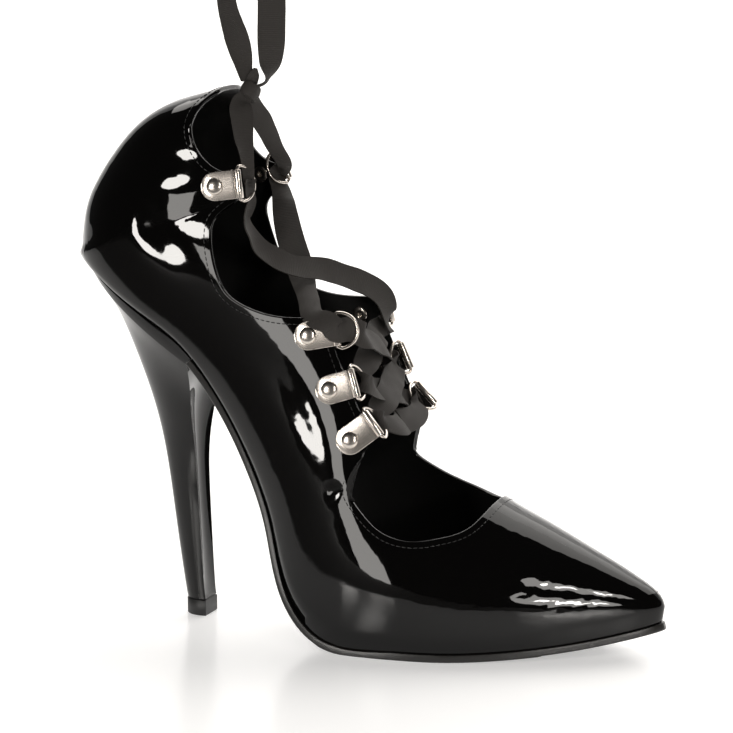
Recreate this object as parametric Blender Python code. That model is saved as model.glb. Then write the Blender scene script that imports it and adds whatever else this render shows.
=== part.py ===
"""Right lace-up stiletto pump: a patent upper on a single sole, laced through riveted D-rings.

Metres. X runs to the toe, Y to the inner (medial) side, Z up. The origin is the centre of the heel tip's
bottom face, on the floor.
"""
import math

import bmesh
import bpy
import numpy as np

# Last
LAST_LENGTH = 0.2192        # seat back to toe tip, along the floor
SEAT_SETBACK = 0.0445       # seat back behind the heel tip's centre
SEAT_HEIGHT = 0.134         # feather edge at the seat back, above the floor
BACK_HEIGHT = 0.0632        # the last's back above the seat
BALL_WIDTH = 0.0748
INSTEP_DEPTH = 0.0837       # deepest section, from feather to ridge
TOE_DEPTH = 0.001           # least depth of a section
TOE_SWAY = 0.003            # toe tip towards the inner side
WAIST_TUCK = 0.0012         # waist towards the outer side

# Upper, sole, insole and heel
WALL = 0.0017
GAP = 0.0003
SOLE = 0.0026
SOLE_MARGIN = 0.0007        # sole edge outside the upper
SOLE_CHAMFER = 0.0005
TREAD_FLAT = 0.00025        # worn flat where the sole meets the floor
INSOLE = 0.0019
TOE_ROUND = 0.004           # length over which a sole layer's toe is rounded
TOE_BLUNT = 0.00005         # how far short of its point a layer ends
LAYER_POINT = 0.0003        # half-width of a layer's point above its chamfer
TIP_HEIGHT = 0.006
TIP_MARGIN = 0.0002

# Clips, rings and rivets
CLIP_HALF_WIDTH = 0.0051
CLIP_SHEET = 0.0005
CLIP_TAIL = 0.0050          # round end behind the rivet
RING_WIRE = 0.0012
RING_DEPTH = 0.0078
RING_REACH = CLIP_HALF_WIDTH + 2 * GAP + RING_WIRE / 2
RING_SQUARENESS = 0.8       # 1 for a round bow, less for a squarer one
HEAD_RADIUS = 0.0030
HEAD_HEIGHT = 0.0013
SHANK_RADIUS = 0.0011

# Ribbon
RIBBON_WIDTH = 0.010
RIBBON_THICKNESS = 0.0007
RIBBON_GATHERED = 0.0036    # width where a ring gathers it
RIBBON_APART = 0.0046       # between the middles of two gathered ribbons in one ring
KNOT_SIZE = (0.0062, 0.0078, 0.0074)

TREAD = SOLE + GAP

# The last's sections, collar to toe. at: place along feather and back; along: share of LAST_LENGTH;
# up: share of SEAT_HEIGHT, above 1 of BACK_HEIGHT; lean: degrees forward; depth: share of INSTEP_DEPTH;
# feather and widest: half-widths as shares of BALL_WIDTH; rise: where it is widest; crown: roundness.
LAST_COLUMNS = ("at", "along", "up", "lean", "depth", "feather", "widest", "rise", "crown")
LAST_SECTIONS = (
    (0.014, 0.257, 1.973, 128.0, 0.70, 0.000, 0.296, 0.405, 2.8),
    (0.032, 0.227, 1.941, 125.0, 0.72, 0.000, 0.301, 0.40, 2.8),
    (0.064, 0.175, 1.886, 108.0, 0.78, 0.000, 0.313, 0.385, 2.7),
    (0.099, 0.120, 1.783, 94.0, 0.85, 0.000, 0.321, 0.37, 2.3),
    (0.155, 0.052, 1.538, 83.0, 1.06, 0.000, 0.337, 0.34, 1.95),
    (0.208, 0.009, 1.253, 75.7, 1.21, 0.000, 0.374, 0.32, 1.9),
    (0.250, 0.000, 1.000, 71.6, 1.29, 0.000, 0.388, 0.30, 1.9),
    (0.283, 0.049, 0.950, 69.0, 1.19, 0.214, 0.394, 0.30, 2.0),
    (0.341, 0.136, 0.861, 63.0, 1.04, 0.314, 0.394, 0.31, 2.1),
    (0.393, 0.211, 0.779, 59.4, 0.92, 0.321, 0.388, 0.33, 2.2),
    (0.444, 0.268, 0.661, 55.5, 0.88, 0.287, 0.385, 0.36, 2.3),
    (0.518, 0.330, 0.471, 50.0, 0.87, 0.261, 0.394, 0.40, 2.3),
    (0.583, 0.374, 0.294, 46.0, 0.90, 0.287, 0.421, 0.40, 2.2),
    (0.655, 0.418, 0.098, 35.5, 1.00, 0.381, 0.461, 0.34, 2.1),
    (0.698, 0.476, 0.016, 27.0, 0.98, 0.448, 0.489, 0.29, 2.0),
    (0.755, 0.575, 0.000, 18.6, 0.81, 0.471, 0.500, 0.27, 1.9),
    (0.812, 0.675, 0.002, 9.0, 0.635, 0.445, 0.471, 0.28, 1.85),
    (0.874, 0.784, 0.012, 5.0, 0.490, 0.352, 0.374, 0.30, 1.85),
    (0.932, 0.884, 0.032, 4.0, 0.336, 0.219, 0.238, 0.34, 1.9),
    (0.974, 0.956, 0.057, 6.0, 0.198, 0.116, 0.131, 0.40, 2.0),
    (0.993, 0.988, 0.070, 10.0, 0.118, 0.057, 0.070, 0.45, 2.0),
    (1.000, 1.000, 0.075, 16.0, 0.040, 0.000, 0.000, 0.50, 2.0),
)
SEAT_ROW = 6

# The topline from the collar's back to the throat, as shares of the last. columns: mesh columns of the
# piece; feather: the place on the feather edge below the piece's end; rows: (at, rise, medial rise).
TOPLINE_PIECES = (
    ("collar scallop", 9, 0.335, (
        (0.014, 0.00, 0.00), (0.016, 0.016, 0.016), (0.021, 0.035, 0.035), (0.0315, 0.074, 0.074),
        (0.044, 0.133, 0.133), (0.060, 0.207, 0.207), (0.084, 0.308, 0.308), (0.110, 0.396, 0.392),
        (0.143, 0.471, 0.461), (0.171, 0.544, 0.524), (0.193, 0.61, 0.58), (0.210, 0.675, 0.643))),
    ("ankle tab", 2, 0.362, (
        (0.210, 0.675, 0.643), (0.249, 0.68, 0.648))),
    ("side scallop", 10, 0.535, (
        (0.249, 0.68, 0.648), (0.254, 0.64, 0.612), (0.269, 0.57, 0.55), (0.302, 0.51, 0.50),
        (0.343, 0.43, 0.43), (0.374, 0.39, 0.39), (0.397, 0.42, 0.42), (0.416, 0.49, 0.49),
        (0.449, 0.72, 0.72))),
    ("instep tab", 6, 0.670, (
        (0.449, 0.72, 0.72), (0.526, 0.71, 0.705), (0.579, 0.72, 0.70), (0.593, 0.72, 0.70))),
    ("vamp opening", 15, 1.000, (
        (0.593, 0.72, 0.70), (0.605, 0.65, 0.635), (0.612, 0.58, 0.585), (0.627, 0.54, 0.575),
        (0.660, 0.555, 0.615), (0.708, 0.57, 0.675), (0.750, 0.605, 0.725), (0.790, 0.71, 0.80),
        (0.816, 0.83, 0.885), (0.828, 1.00, 1.00))),
)
COLLAR_EASE = (2.3, 2.0)     # powers that space the mesh's columns at the back: topline, feather
THROAT_EASE = (2.0, 2.0)
SHELL_ROWS = (0.0, 0.05, 0.13, 0.24, 0.37, 0.51, 0.65, 0.78, 0.89, 0.96, 1.0)

# Heel rings from seat to tip. back and front: shares of SEAT_SETBACK behind and ahead of the tip's
# centre; back_up and front_up: shares of SEAT_HEIGHT; half: share of the seat's half-width; hollow:
# how far the breast sinks, as a share of the ring's depth. The lip is the ring level with the sole's
# underside, with its back as (back, back_up).
HEEL_LIP_BACK = (0.951, 0.978)
HEEL_COLUMNS = ("back", "back_up", "front", "front_up", "half", "hollow")
HEEL_RINGS = (
    (0.748, 0.878, 0.075, 0.674, 0.745, 0.03),
    (0.575, 0.748, 0.036, 0.610, 0.535, 0.07),
    (0.425, 0.612, 0.014, 0.532, 0.385, 0.10),
    (0.310, 0.455, 0.012, 0.428, 0.262, 0.11),
    (0.222, 0.254, 0.036, 0.246, 0.228, 0.10),
    (0.150, 0.090, 0.063, 0.090, 0.212, 0.05),
)
BREAST_AT = 0.412
HEEL_TIP_BACK = 0.0056
HEEL_TIP_FRONT = 0.0034
HEEL_TIP_HALF = 0.0049

# Clips: name and place of the rivet along the foot, then for the outer and the inner side its rise, the
# turn of the clip in the side view (degrees up from +X) and how far the ring tips in towards the foot.
CLIPS = (
    ("ankle", 0.222, (0.61, 8.5, 58.0), (0.578, 22.0, 108.0)),
    ("instep_1", 0.457, (0.62, 12.0, 8.0), (0.61, 14.0, 78.0)),
    ("instep_2", 0.519, (0.62, 19.0, 74.0), (0.62, 24.0, 98.0)),
    ("instep_3", 0.576, (0.63, 39.0, 78.0), (0.607, 44.0, 96.0)),
)
SIDES = (("outer", -1.0), ("inner", 1.0))

# Lace: where the knot sits, and the loop that rises from it.
KNOT_PLACE = (0.0205, 0.0, 0.1935)
# Points that the long crossing between ankle and instep passes: the strand from the outer ankle to the
# inner instep, and the one under it. Both pass the point where they cross.
LONG_CROSSING = (
    ((0.0283, -0.0150, 0.1384), (0.0375, -0.0023, 0.1300), (0.0490, 0.0090, 0.1243), (0.0580, 0.0175, 0.1190)),
    ((0.0280, 0.0085, 0.1420), (0.0375, -0.0023, 0.1300), (0.0459, -0.0130, 0.1189)),
)
RISERS = (
    ((0.0268, -0.0180, 0.1700), (0.0237, -0.0150, 0.1779), (0.0208, -0.0090, 0.1855)),
    ((0.0241, 0.0160, 0.1727), (0.0235, 0.0110, 0.1800), (0.0229, 0.0060, 0.1866)),
)
RISER_FACES = {"outer": (0.50, -0.85, 0.0), "inner": (0.75, -0.66, 0.0)}
# turn: how far the ribbon's face is turned from the loop's outside towards the outer side, degrees.
LOOP_ROUTE = (
    (0.0188, 0.000, 0.1971, 80.0), (0.0180, -0.002, 0.2060, 85.0), (0.0163, -0.003, 0.2135, 80.0),
    (0.0140, -0.003, 0.2201, 66.0), (0.0127, -0.003, 0.2262, 58.0), (0.0128, -0.002, 0.2340, 40.0),
    (0.0160, -0.001, 0.2415, 15.0), (0.0210, 0.001, 0.2440, 0.0), (0.0255, 0.002, 0.2410, -15.0),
    (0.0272, 0.003, 0.2335, -40.0), (0.0274, 0.004, 0.2260, -52.0), (0.0273, 0.004, 0.2180, -64.0),
    (0.0272, 0.004, 0.2090, -30.0), (0.0268, 0.004, 0.2015, -12.0), (0.0255, 0.003, 0.1965, -5.0),
)

MATERIALS = {
    "patent": ((0.010, 0.009, 0.010), 0.08, 0.0),
    "sole": ((0.020, 0.019, 0.018), 0.35, 0.0),
    "lining": ((0.012, 0.012, 0.012), 0.70, 0.0),
    "lift": ((0.015, 0.015, 0.015), 0.45, 0.0),
    "nickel": ((0.80, 0.76, 0.71), 0.16, 1.0),
    "ribbon": ((0.030, 0.026, 0.025), 0.62, 0.0),
}


class Spline:
    """Natural cubic through values at the given places."""

    def __init__(self, at, values):
        self.at = np.asarray(at, float)
        self.values = np.asarray(values, float)
        count = len(self.at)
        step = np.diff(self.at)
        matrix = np.eye(count)
        right = np.zeros(count)
        for i in range(1, count - 1):
            before, after = step[i - 1], step[i]
            matrix[i, i - 1:i + 2] = before, 2 * (before + after), after
            rise_after = (self.values[i + 1] - self.values[i]) / after
            rise_before = (self.values[i] - self.values[i - 1]) / before
            right[i] = 6 * (rise_after - rise_before)
        self.bend = np.linalg.solve(matrix, right)

    def __call__(self, at):
        at = np.asarray(at, float)
        i = np.clip(np.searchsorted(self.at, at, side="right") - 1, 0, len(self.at) - 2)
        step = self.at[i + 1] - self.at[i]
        b = (at - self.at[i]) / step
        a = 1 - b
        straight = a * self.values[i] + b * self.values[i + 1]
        curved = (a ** 3 - a) * self.bend[i] + (b ** 3 - b) * self.bend[i + 1]
        return straight + curved * step * step / 6


def eased(count, start=1.0, end=1.0):
    """Shares from 0 to 1, closer together at an end whose power is above 1."""
    share = np.linspace(0, 1, count)
    from_start = share ** start
    from_end = 1 - (1 - share) ** end
    return (1 - share) * from_start + share * from_end


def smooth_path(points, shares):
    """Points on a natural cubic through points, at shares of its chord length."""
    points = np.asarray(points, float)
    chord = np.r_[0, np.cumsum(np.linalg.norm(np.diff(points, axis=0), axis=1))]
    return np.stack([Spline(chord, values)(shares * chord[-1]) for values in points.T], axis=-1)


def column(table, columns, name):
    """One named column of a table."""
    return np.array([row[columns.index(name)] for row in table], float)


class Last:
    """The form that the upper is pulled over, as sections fanned along its foot."""

    def __init__(self):
        get = {name: column(LAST_SECTIONS, LAST_COLUMNS, name) for name in LAST_COLUMNS}
        at = get["at"]
        x = get["along"] * LAST_LENGTH - SEAT_SETBACK
        low = TREAD + get["up"] * (SEAT_HEIGHT - TREAD)
        high = SEAT_HEIGHT + (get["up"] - 1) * BACK_HEIGHT
        z = np.where(get["up"] > 1, high, low)
        seat = SEAT_ROW
        self.seat_at = at[seat]
        self.back = [Spline(at[:seat + 1], values[:seat + 1]) for values in (x, z)]
        self.base = [Spline(at[seat:], values[seat:]) for values in (x, z)]
        self.lean = Spline(at, np.radians(get["lean"]))
        self.depth_squared = Spline(at, (get["depth"] * INSTEP_DEPTH) ** 2)
        self.feather_squared = Spline(at[seat:], (get["feather"][seat:] * BALL_WIDTH) ** 2)
        self.widest_squared = Spline(at, (get["widest"] * BALL_WIDTH) ** 2)
        self.rise = Spline(at, get["rise"])
        self.crown = Spline(at, get["crown"])
        self.fan_at = np.linspace(at[0], 1, 900)
        self.fan = self.section(self.fan_at)

    def foot(self, at):
        """Side view point of the foot line: the back above the seat, the feather line below it."""
        at = np.asarray(at, float)
        pair = [np.where(at < self.seat_at, self.back[k](at), self.base[k](at)) for k in (0, 1)]
        return np.stack(pair, axis=-1)

    def section(self, at):
        """Foot point, direction to the ridge and depth of the section there."""
        lean = self.lean(at)
        direction = np.stack([np.sin(lean), np.cos(lean)], axis=-1)
        return self.foot(at), direction, np.sqrt(np.maximum(self.depth_squared(at), TOE_DEPTH ** 2))

    def feather(self, at):
        """Half-width of the feather edge."""
        at = np.asarray(at, float)
        half = np.sqrt(np.maximum(self.feather_squared(at), 0))
        return np.where(at < self.seat_at, 0, half)

    def half_width(self, at, rise):
        """Half-width at a share of the section's depth."""
        foot = self.feather(at)
        widest = np.sqrt(np.maximum(self.widest_squared(at), 0))
        belly, crown = self.rise(at), self.crown(at)
        rise = np.clip(rise, 0, 1)
        below = 1 - np.clip(rise / belly, 0, 1)
        above = np.clip((rise - belly) / (1 - belly), 0, 1)
        lower = foot + (widest - foot) * np.maximum(1 - below ** crown, 0) ** (1 / crown)
        upper = widest * np.maximum(1 - above ** crown, 0) ** (1 / crown)
        return np.where(rise < belly, lower, upper)

    def centre(self, at):
        """How far the last's middle line sways towards the inner side."""
        at = np.asarray(at, float)
        toe = np.clip((at - 0.755) / 0.245, 0, 1)
        waist = np.exp(-((at - 0.58) / 0.09) ** 2)
        return TOE_SWAY * toe * toe * (3 - 2 * toe) - WAIST_TUCK * waist

    def place(self, at, rise):
        """Side view point at a share of a section's depth."""
        foot, direction, depth = self.section(at)
        return foot + (np.asarray(rise) * depth)[..., None] * direction

    def locate(self, points):
        """Section and share of its depth at each side view point."""
        foot, direction, depth = self.fan
        reach = points[:, None, :] - foot[None]
        ahead = direction[None, :, 0] * reach[..., 1] - direction[None, :, 1] * reach[..., 0]
        share = np.einsum("ijk,jk->ij", reach, direction) / depth[None]
        crossed = (ahead[:, :-1] >= 0) & (ahead[:, 1:] < 0)
        crossed &= (share[:, :-1] > -0.3) & (share[:, :-1] < 1.4)
        first = np.where(crossed.any(axis=1), crossed.argmax(axis=1), np.abs(ahead[:, :-1]).argmin(axis=1))
        rows = np.arange(len(points))
        before, after = ahead[rows, first], ahead[rows, first + 1]
        part = np.clip(before / np.where(before == after, 1, before - after), 0, 1)
        at = self.fan_at[first] + part * (self.fan_at[1] - self.fan_at[0])
        foot, direction, depth = self.section(at)
        return at, np.einsum("ij,ij->i", points - foot, direction) / depth

    def surface(self, at, rise, side):
        """Point on the last's skin; side is -1 for the outer side, 1 for the inner one."""
        flat = self.place(at, rise)
        y = self.centre(at) + side * self.half_width(at, rise)
        return np.stack([flat[..., 0], y, flat[..., 1]], axis=-1)

    def frame(self, at, rise, side):
        """Skin point with its outward normal."""
        step = 0.002
        along = self.surface(at + step, rise, side) - self.surface(at - step, rise, side)
        around = self.surface(at, rise + step, side) - self.surface(at, rise - step, side)
        normal = np.cross(along, around)
        normal /= np.linalg.norm(normal)
        normal *= np.sign(normal[1] * side)
        return self.surface(at, rise, side), normal


LAST = Last()


def feather_up(at):
    """Side view normal of the foot line, pointing into the shoe."""
    step = 0.001
    at = np.clip(np.asarray(at, float), LAST.seat_at + step, 1 - step)
    run = LAST.foot(at + step) - LAST.foot(at - step)
    run /= np.linalg.norm(run, axis=-1, keepdims=True)
    return np.stack([-run[..., 1], run[..., 0]], axis=-1)


def topline(side, density):
    """Side view points of one side's topline, with the feather place below each."""
    rise_column = 1 if side < 0 else 2
    points, feather = [], []
    feather_from = LAST.seat_at
    last_piece = len(TOPLINE_PIECES) - 1
    for number, (_, columns, feather_to, rows) in enumerate(TOPLINE_PIECES):
        knots = LAST.place(np.array([row[0] for row in rows]), np.array([row[rise_column] for row in rows]))
        count = columns * density + 1
        top_start, foot_start = COLLAR_EASE if number == 0 else (1.0, 1.0)
        top_end, foot_end = THROAT_EASE if number == last_piece else (1.0, 1.0)
        piece = smooth_path(knots, eased(count, top_start, top_end))
        share = eased(count, foot_start, foot_end)
        skip = 0 if number == 0 else 1
        points.append(piece[skip:])
        feather.append((feather_from + share * (feather_to - feather_from))[skip:])
        feather_from = feather_to
    return np.concatenate(points), np.concatenate(feather)


def side_grid(side, rows, density=1):
    """One side of the upper's skin, (rows, columns, 3), from the back's middle to the toe's."""
    top, feather = topline(side, density)
    count = len(top)
    v = np.asarray(rows, float)[:, None, None]
    u = ((1 - np.cos(math.pi * np.linspace(0, 1, count))) / 2)[None, :, None]
    bottom = LAST.foot(feather)
    collar = topline_start_at()
    left_at = LAST.seat_at + v[:, 0, 0] * (collar - LAST.seat_at)
    left = LAST.place(left_at, np.zeros(len(left_at)))
    left[0] = bottom[0]
    throat = TOPLINE_PIECES[-1][3][-1][0]
    right_at = 1 + v[:, 0, 0] ** 1.25 * (throat - 1)
    right = LAST.place(right_at, np.ones(len(right_at)))
    right[0] = bottom[-1]
    rails = (1 - v) * bottom[None] + v * top[None]
    ends = (1 - u) * left[:, None] + u * right[:, None]
    corners = (1 - u) * ((1 - v) * bottom[0] + v * top[0]) + u * ((1 - v) * bottom[-1] + v * top[-1])
    flat = rails + ends - corners
    at, rise = LAST.locate(flat.reshape(-1, 2))
    half = LAST.half_width(at, rise).reshape(flat.shape[:2])
    at = at.reshape(flat.shape[:2])
    at[0], half[0] = feather, LAST.feather(feather)
    half[:, 0] = 0
    half[:, -1] = 0
    y = LAST.centre(at) + side * half
    return np.stack([flat[..., 0], y, flat[..., 1]], axis=-1), at


def topline_start_at():
    """Place of the collar's back on the last."""
    return TOPLINE_PIECES[0][3][0][0]


def shell_skins(rows, density=1):
    """Outer and inner skins of the upper, each (rows, columns around, 3)."""
    outer_side, outer_at = side_grid(-1.0, rows, density)
    inner_side, inner_at = side_grid(1.0, rows, density)
    skin = np.concatenate([outer_side, inner_side[:, -2:0:-1]], axis=1)
    at = np.concatenate([outer_at, inner_at[:, -2:0:-1]], axis=1)
    around = np.roll(skin, -1, axis=1) - np.roll(skin, 1, axis=1)
    upward = np.gradient(skin, axis=0)
    normal = np.cross(around, upward)
    normal /= np.linalg.norm(normal, axis=-1, keepdims=True)
    up = feather_up(at[0])
    up = np.stack([up[:, 0], np.zeros(len(up)), up[:, 1]], axis=-1)
    normal[0] -= np.einsum("ij,ij->i", normal[0], up)[:, None] * up
    normal[0] /= np.linalg.norm(normal[0], axis=-1, keepdims=True)
    return skin, skin - WALL * normal


class Outline:
    """The sole's plan, measured along the foot line from the seat back, set out or in by a margin."""

    def __init__(self, margin):
        share = (1 - np.cos(np.linspace(0, math.pi, 600))) / 2
        at = LAST.seat_at + share * (1 - LAST.seat_at)
        self.at = at
        foot = LAST.foot(at)
        self.arc = np.r_[0, np.cumsum(np.linalg.norm(np.diff(foot, axis=0), axis=1))]
        half = LAST.feather(at)
        run = np.stack([np.gradient(self.arc), np.gradient(half)], axis=-1)
        run /= np.linalg.norm(run, axis=-1, keepdims=True)
        run[0], run[-1] = (0, 1), (0, -1)
        self.edge_arc = self.arc - margin * run[:, 1]
        self.edge_half = np.maximum(half + margin * run[:, 0], 0)
        self.start, self.end = self.edge_arc[0], self.edge_arc[-1]

    def half(self, arc):
        """Half-width of the plan at a length along the foot."""
        return np.interp(arc, self.edge_arc, self.edge_half)

    def point(self, arc, height):
        """Side view point above the foot line, and the middle line's sway there."""
        inside = float(np.clip(arc, 0, self.arc[-1]))
        at = np.interp(inside, self.arc, self.at)
        up = feather_up(at)
        forward = np.array([up[1], -up[0]])
        flat = LAST.foot(at) + (arc - inside) * forward + height * up
        return flat, float(LAST.centre(at))


def layer_arcs(outline, start):
    """Stations of a sole layer: those that all layers share, with its own round toe and straight start."""
    toe = outline.end - TOE_BLUNT
    tip = toe - TOE_ROUND * np.linspace(0, 1, 4)[::-1] ** 2
    shared = outline.arc[-1] * eased(46, 1.7, 1.5)
    inside = shared[(shared > start + TOE_ROUND / 4) & (shared < tip[0] - TOE_ROUND / 8)]
    return np.r_[start, inside, tip]


def arc_of(at):
    """Length along the foot line from the seat back to a place on it."""
    outline = Outline(0)
    return float(np.interp(at, outline.at, outline.arc))


def add_object(name, mesh_builder, material, smooth=True):
    """New object from a filled bmesh, faces out, with its material."""
    mesh = bpy.data.meshes.new(name)
    shape = bmesh.new()
    mesh_builder(shape)
    bmesh.ops.remove_doubles(shape, verts=shape.verts, dist=1e-6)
    bmesh.ops.recalc_face_normals(shape, faces=shape.faces)
    shape.to_mesh(mesh)
    shape.free()
    thing = bpy.data.objects.new(name, mesh)
    bpy.context.scene.collection.objects.link(thing)
    mesh.materials.append(material)
    if smooth:
        mesh.shade_smooth()
        mesh.set_sharp_from_angle(angle=math.radians(40))
    return thing


def add_rings(shape, rings, closed=False, caps=True):
    """Quads between rings of equal length; closed joins the last ring to the first."""
    rows = [[shape.verts.new(point) for point in ring] for ring in rings]
    pairs = list(zip(rows[:-1], rows[1:]))
    if closed:
        pairs.append((rows[-1], rows[0]))
    for low, high in pairs:
        for j in range(len(low)):
            k = (j + 1) % len(low)
            shape.faces.new((low[j], low[k], high[k], high[j]))
    if caps and not closed:
        shape.faces.new(rows[0][::-1])
        shape.faces.new(rows[-1])
    return rows


def make_material(name):
    """Principled material of a named finish."""
    colour, roughness, metallic = MATERIALS[name]
    material = bpy.data.materials.new(name)
    material.use_nodes = True
    shader = material.node_tree.nodes["Principled BSDF"]
    shader.inputs["Base Color"].default_value = (*colour, 1.0)
    shader.inputs["Roughness"].default_value = roughness
    shader.inputs["Metallic"].default_value = metallic
    return material


def build_upper(material):
    """Hollow shell: outer skin up, over the topline, inner skin down and back under the feather."""
    outer, inner = shell_skins(SHELL_ROWS)
    rings = list(outer) + list(inner[::-1])
    return add_object("upper", lambda shape: add_rings(shape, rings, closed=True), material)


def sole_rings(outline, arcs, low, high, chamfer):
    """Cross-sections of a sole layer between two heights over the foot line."""
    rings = []
    for arc in arcs:
        half = max(float(outline.half(arc)), chamfer + LAYER_POINT)
        bottom, centre = outline.point(arc, low)
        edge, _ = outline.point(arc, low + chamfer)
        top, _ = outline.point(arc, high)
        ring = [(top, -half), (top, half)]
        if chamfer:
            ring += [(edge, half), (bottom, half - chamfer), (bottom, chamfer - half), (edge, -half)]
        else:
            ring += [(bottom, half), (bottom, -half)]
        rings.append([(flat[0], centre + y, flat[1]) for flat, y in ring])
    return rings


def worn(point):
    """The tread flattened where it meets the floor."""
    x, y, z = point
    return x, y, max(z - TREAD_FLAT, 0.0)


def build_outsole(material):
    """Single sole from the heel breast to the toe."""
    outline = Outline(SOLE_MARGIN)
    start = arc_of(BREAST_AT) + GAP
    rings = sole_rings(outline, layer_arcs(outline, start), -GAP - SOLE, -GAP, SOLE_CHAMFER)
    tread = [ring[:2] + [worn(point) for point in ring[2:]] for ring in rings]
    return add_object("outsole", lambda shape: add_rings(shape, tread), material)


def build_insole(material):
    """Board inside the upper, from seat to toe."""
    outline = Outline(-WALL - 2 * GAP)
    seat = outline.start + TOE_ROUND * np.linspace(0, 1, 4) ** 2 + TOE_BLUNT
    arcs = np.r_[seat[:-1], layer_arcs(outline, seat[-1])]
    rings = sole_rings(outline, arcs, 0.0, INSOLE, 0.0)
    return add_object("insole", lambda shape: add_rings(shape, rings), material)


def heel_plan(half_count):
    """The seat's plan from the outer breast corner round the back: (depth share, side share)."""
    outline = Outline(0)
    breast = arc_of(BREAST_AT)
    widest = float(outline.half(breast))
    plan = []
    for j in range(2 * half_count + 1):
        turn = math.pi * j / (2 * half_count)
        depth = math.sin(turn)
        side = float(outline.half(breast * (1 - depth))) / widest
        plan.append((depth, -side if j < half_count else side))
    middle = plan[half_count]
    plan[half_count] = (middle[0], 0.0)
    return plan, breast, widest


def breast_points(plan_count):
    """Shares across the breast between its two corners, inner to outer."""
    return [1 - 2 * (k + 1) / (plan_count + 1) for k in range(plan_count)]


def heel_ring(plan, front, back, half, hollow, centre=0.0):
    """One ring of the heel in the plane through its front and back points."""
    run = np.asarray(back) - np.asarray(front)
    ring = []
    for depth, side in plan:
        flat = np.asarray(front) + depth * run
        ring.append((flat[0], centre + side * half, flat[1]))
    for side in breast_points(3):
        sunk = hollow * (1 - side * side)
        flat = np.asarray(front) + sunk * run
        ring.append((flat[0], centre + side * half, flat[1]))
    return ring


def seat_ring(plan, breast, height):
    """The heel's top ring, on the seat under the upper."""
    outline = Outline(0)
    ring = []
    for depth, side in plan:
        arc = breast * (1 - depth)
        flat, centre = outline.point(arc, height)
        half = float(outline.half(arc))
        ring.append((flat[0], centre + math.copysign(half, side) * (side != 0), flat[1]))
    flat, centre = outline.point(breast, height)
    half = float(outline.half(breast))
    for side in breast_points(3):
        ring.append((flat[0], centre + side * half, flat[1]))
    return ring


def build_heel(material):
    """D-shaped stiletto from the seat to the tip, its breast slightly hollow."""
    half_count = 8
    plan, breast, widest = heel_plan(half_count)
    top = seat_ring(plan, breast, -GAP)
    under = -SOLE - 2 * GAP
    lip_front, _ = Outline(0).point(breast, under)
    get = {name: column(HEEL_RINGS, HEEL_COLUMNS, name) for name in HEEL_COLUMNS}
    front_x = np.r_[lip_front[0], get["front"] * SEAT_SETBACK, HEEL_TIP_FRONT]
    front_z = np.r_[lip_front[1], get["front_up"] * SEAT_HEIGHT, TIP_HEIGHT + GAP]
    back_x = np.r_[-np.r_[HEEL_LIP_BACK[0], get["back"]] * SEAT_SETBACK, -HEEL_TIP_BACK]
    back_z = np.r_[np.r_[HEEL_LIP_BACK[1], get["back_up"]] * SEAT_HEIGHT, TIP_HEIGHT + GAP]
    half = np.r_[0.965 * widest, get["half"] * widest, HEEL_TIP_HALF]
    hollow = np.r_[0.0, get["hollow"], 0.0]
    number = np.arange(len(half))
    curves = [Spline(number, values) for values in (front_x, front_z, back_x, back_z, half, hollow)]
    rings = [top]
    for place in np.linspace(0, number[-1], 2 * len(number) - 1):
        fx, fz, bx, bz, wide, sunk = (float(curve(place)) for curve in curves)
        rings.append(heel_ring(plan, (fx, fz), (bx, bz), wide, max(sunk, 0.0)))

    def fill(shape):
        rows = add_rings(shape, rings, caps=False)
        corner = 2 * half_count
        shape.faces.new([rows[0][0], rows[0][1], rows[0][corner - 1], rows[0][corner], *rows[0][corner + 1:]])
        for j in range(1, half_count - 1):
            shape.faces.new([rows[0][j], rows[0][j + 1], rows[0][corner - j - 1], rows[0][corner - j]])
        shape.faces.new([rows[0][half_count - 1], rows[0][half_count], rows[0][half_count + 1]])
        shape.faces.new(rows[-1][::-1])

    return add_object("heel", fill, material)


def build_heel_tip(material):
    """Top piece between the heel and the floor."""
    plan, _, _ = heel_plan(8)
    rings = []
    for height in (TIP_HEIGHT, 0.0):
        front = (HEEL_TIP_FRONT + TIP_MARGIN, height)
        back = (-HEEL_TIP_BACK - TIP_MARGIN, height)
        rings.append(heel_ring(plan, front, back, HEEL_TIP_HALF + TIP_MARGIN, 0.0))
    return add_object("heel_tip", lambda shape: add_rings(shape, rings), material)


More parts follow.
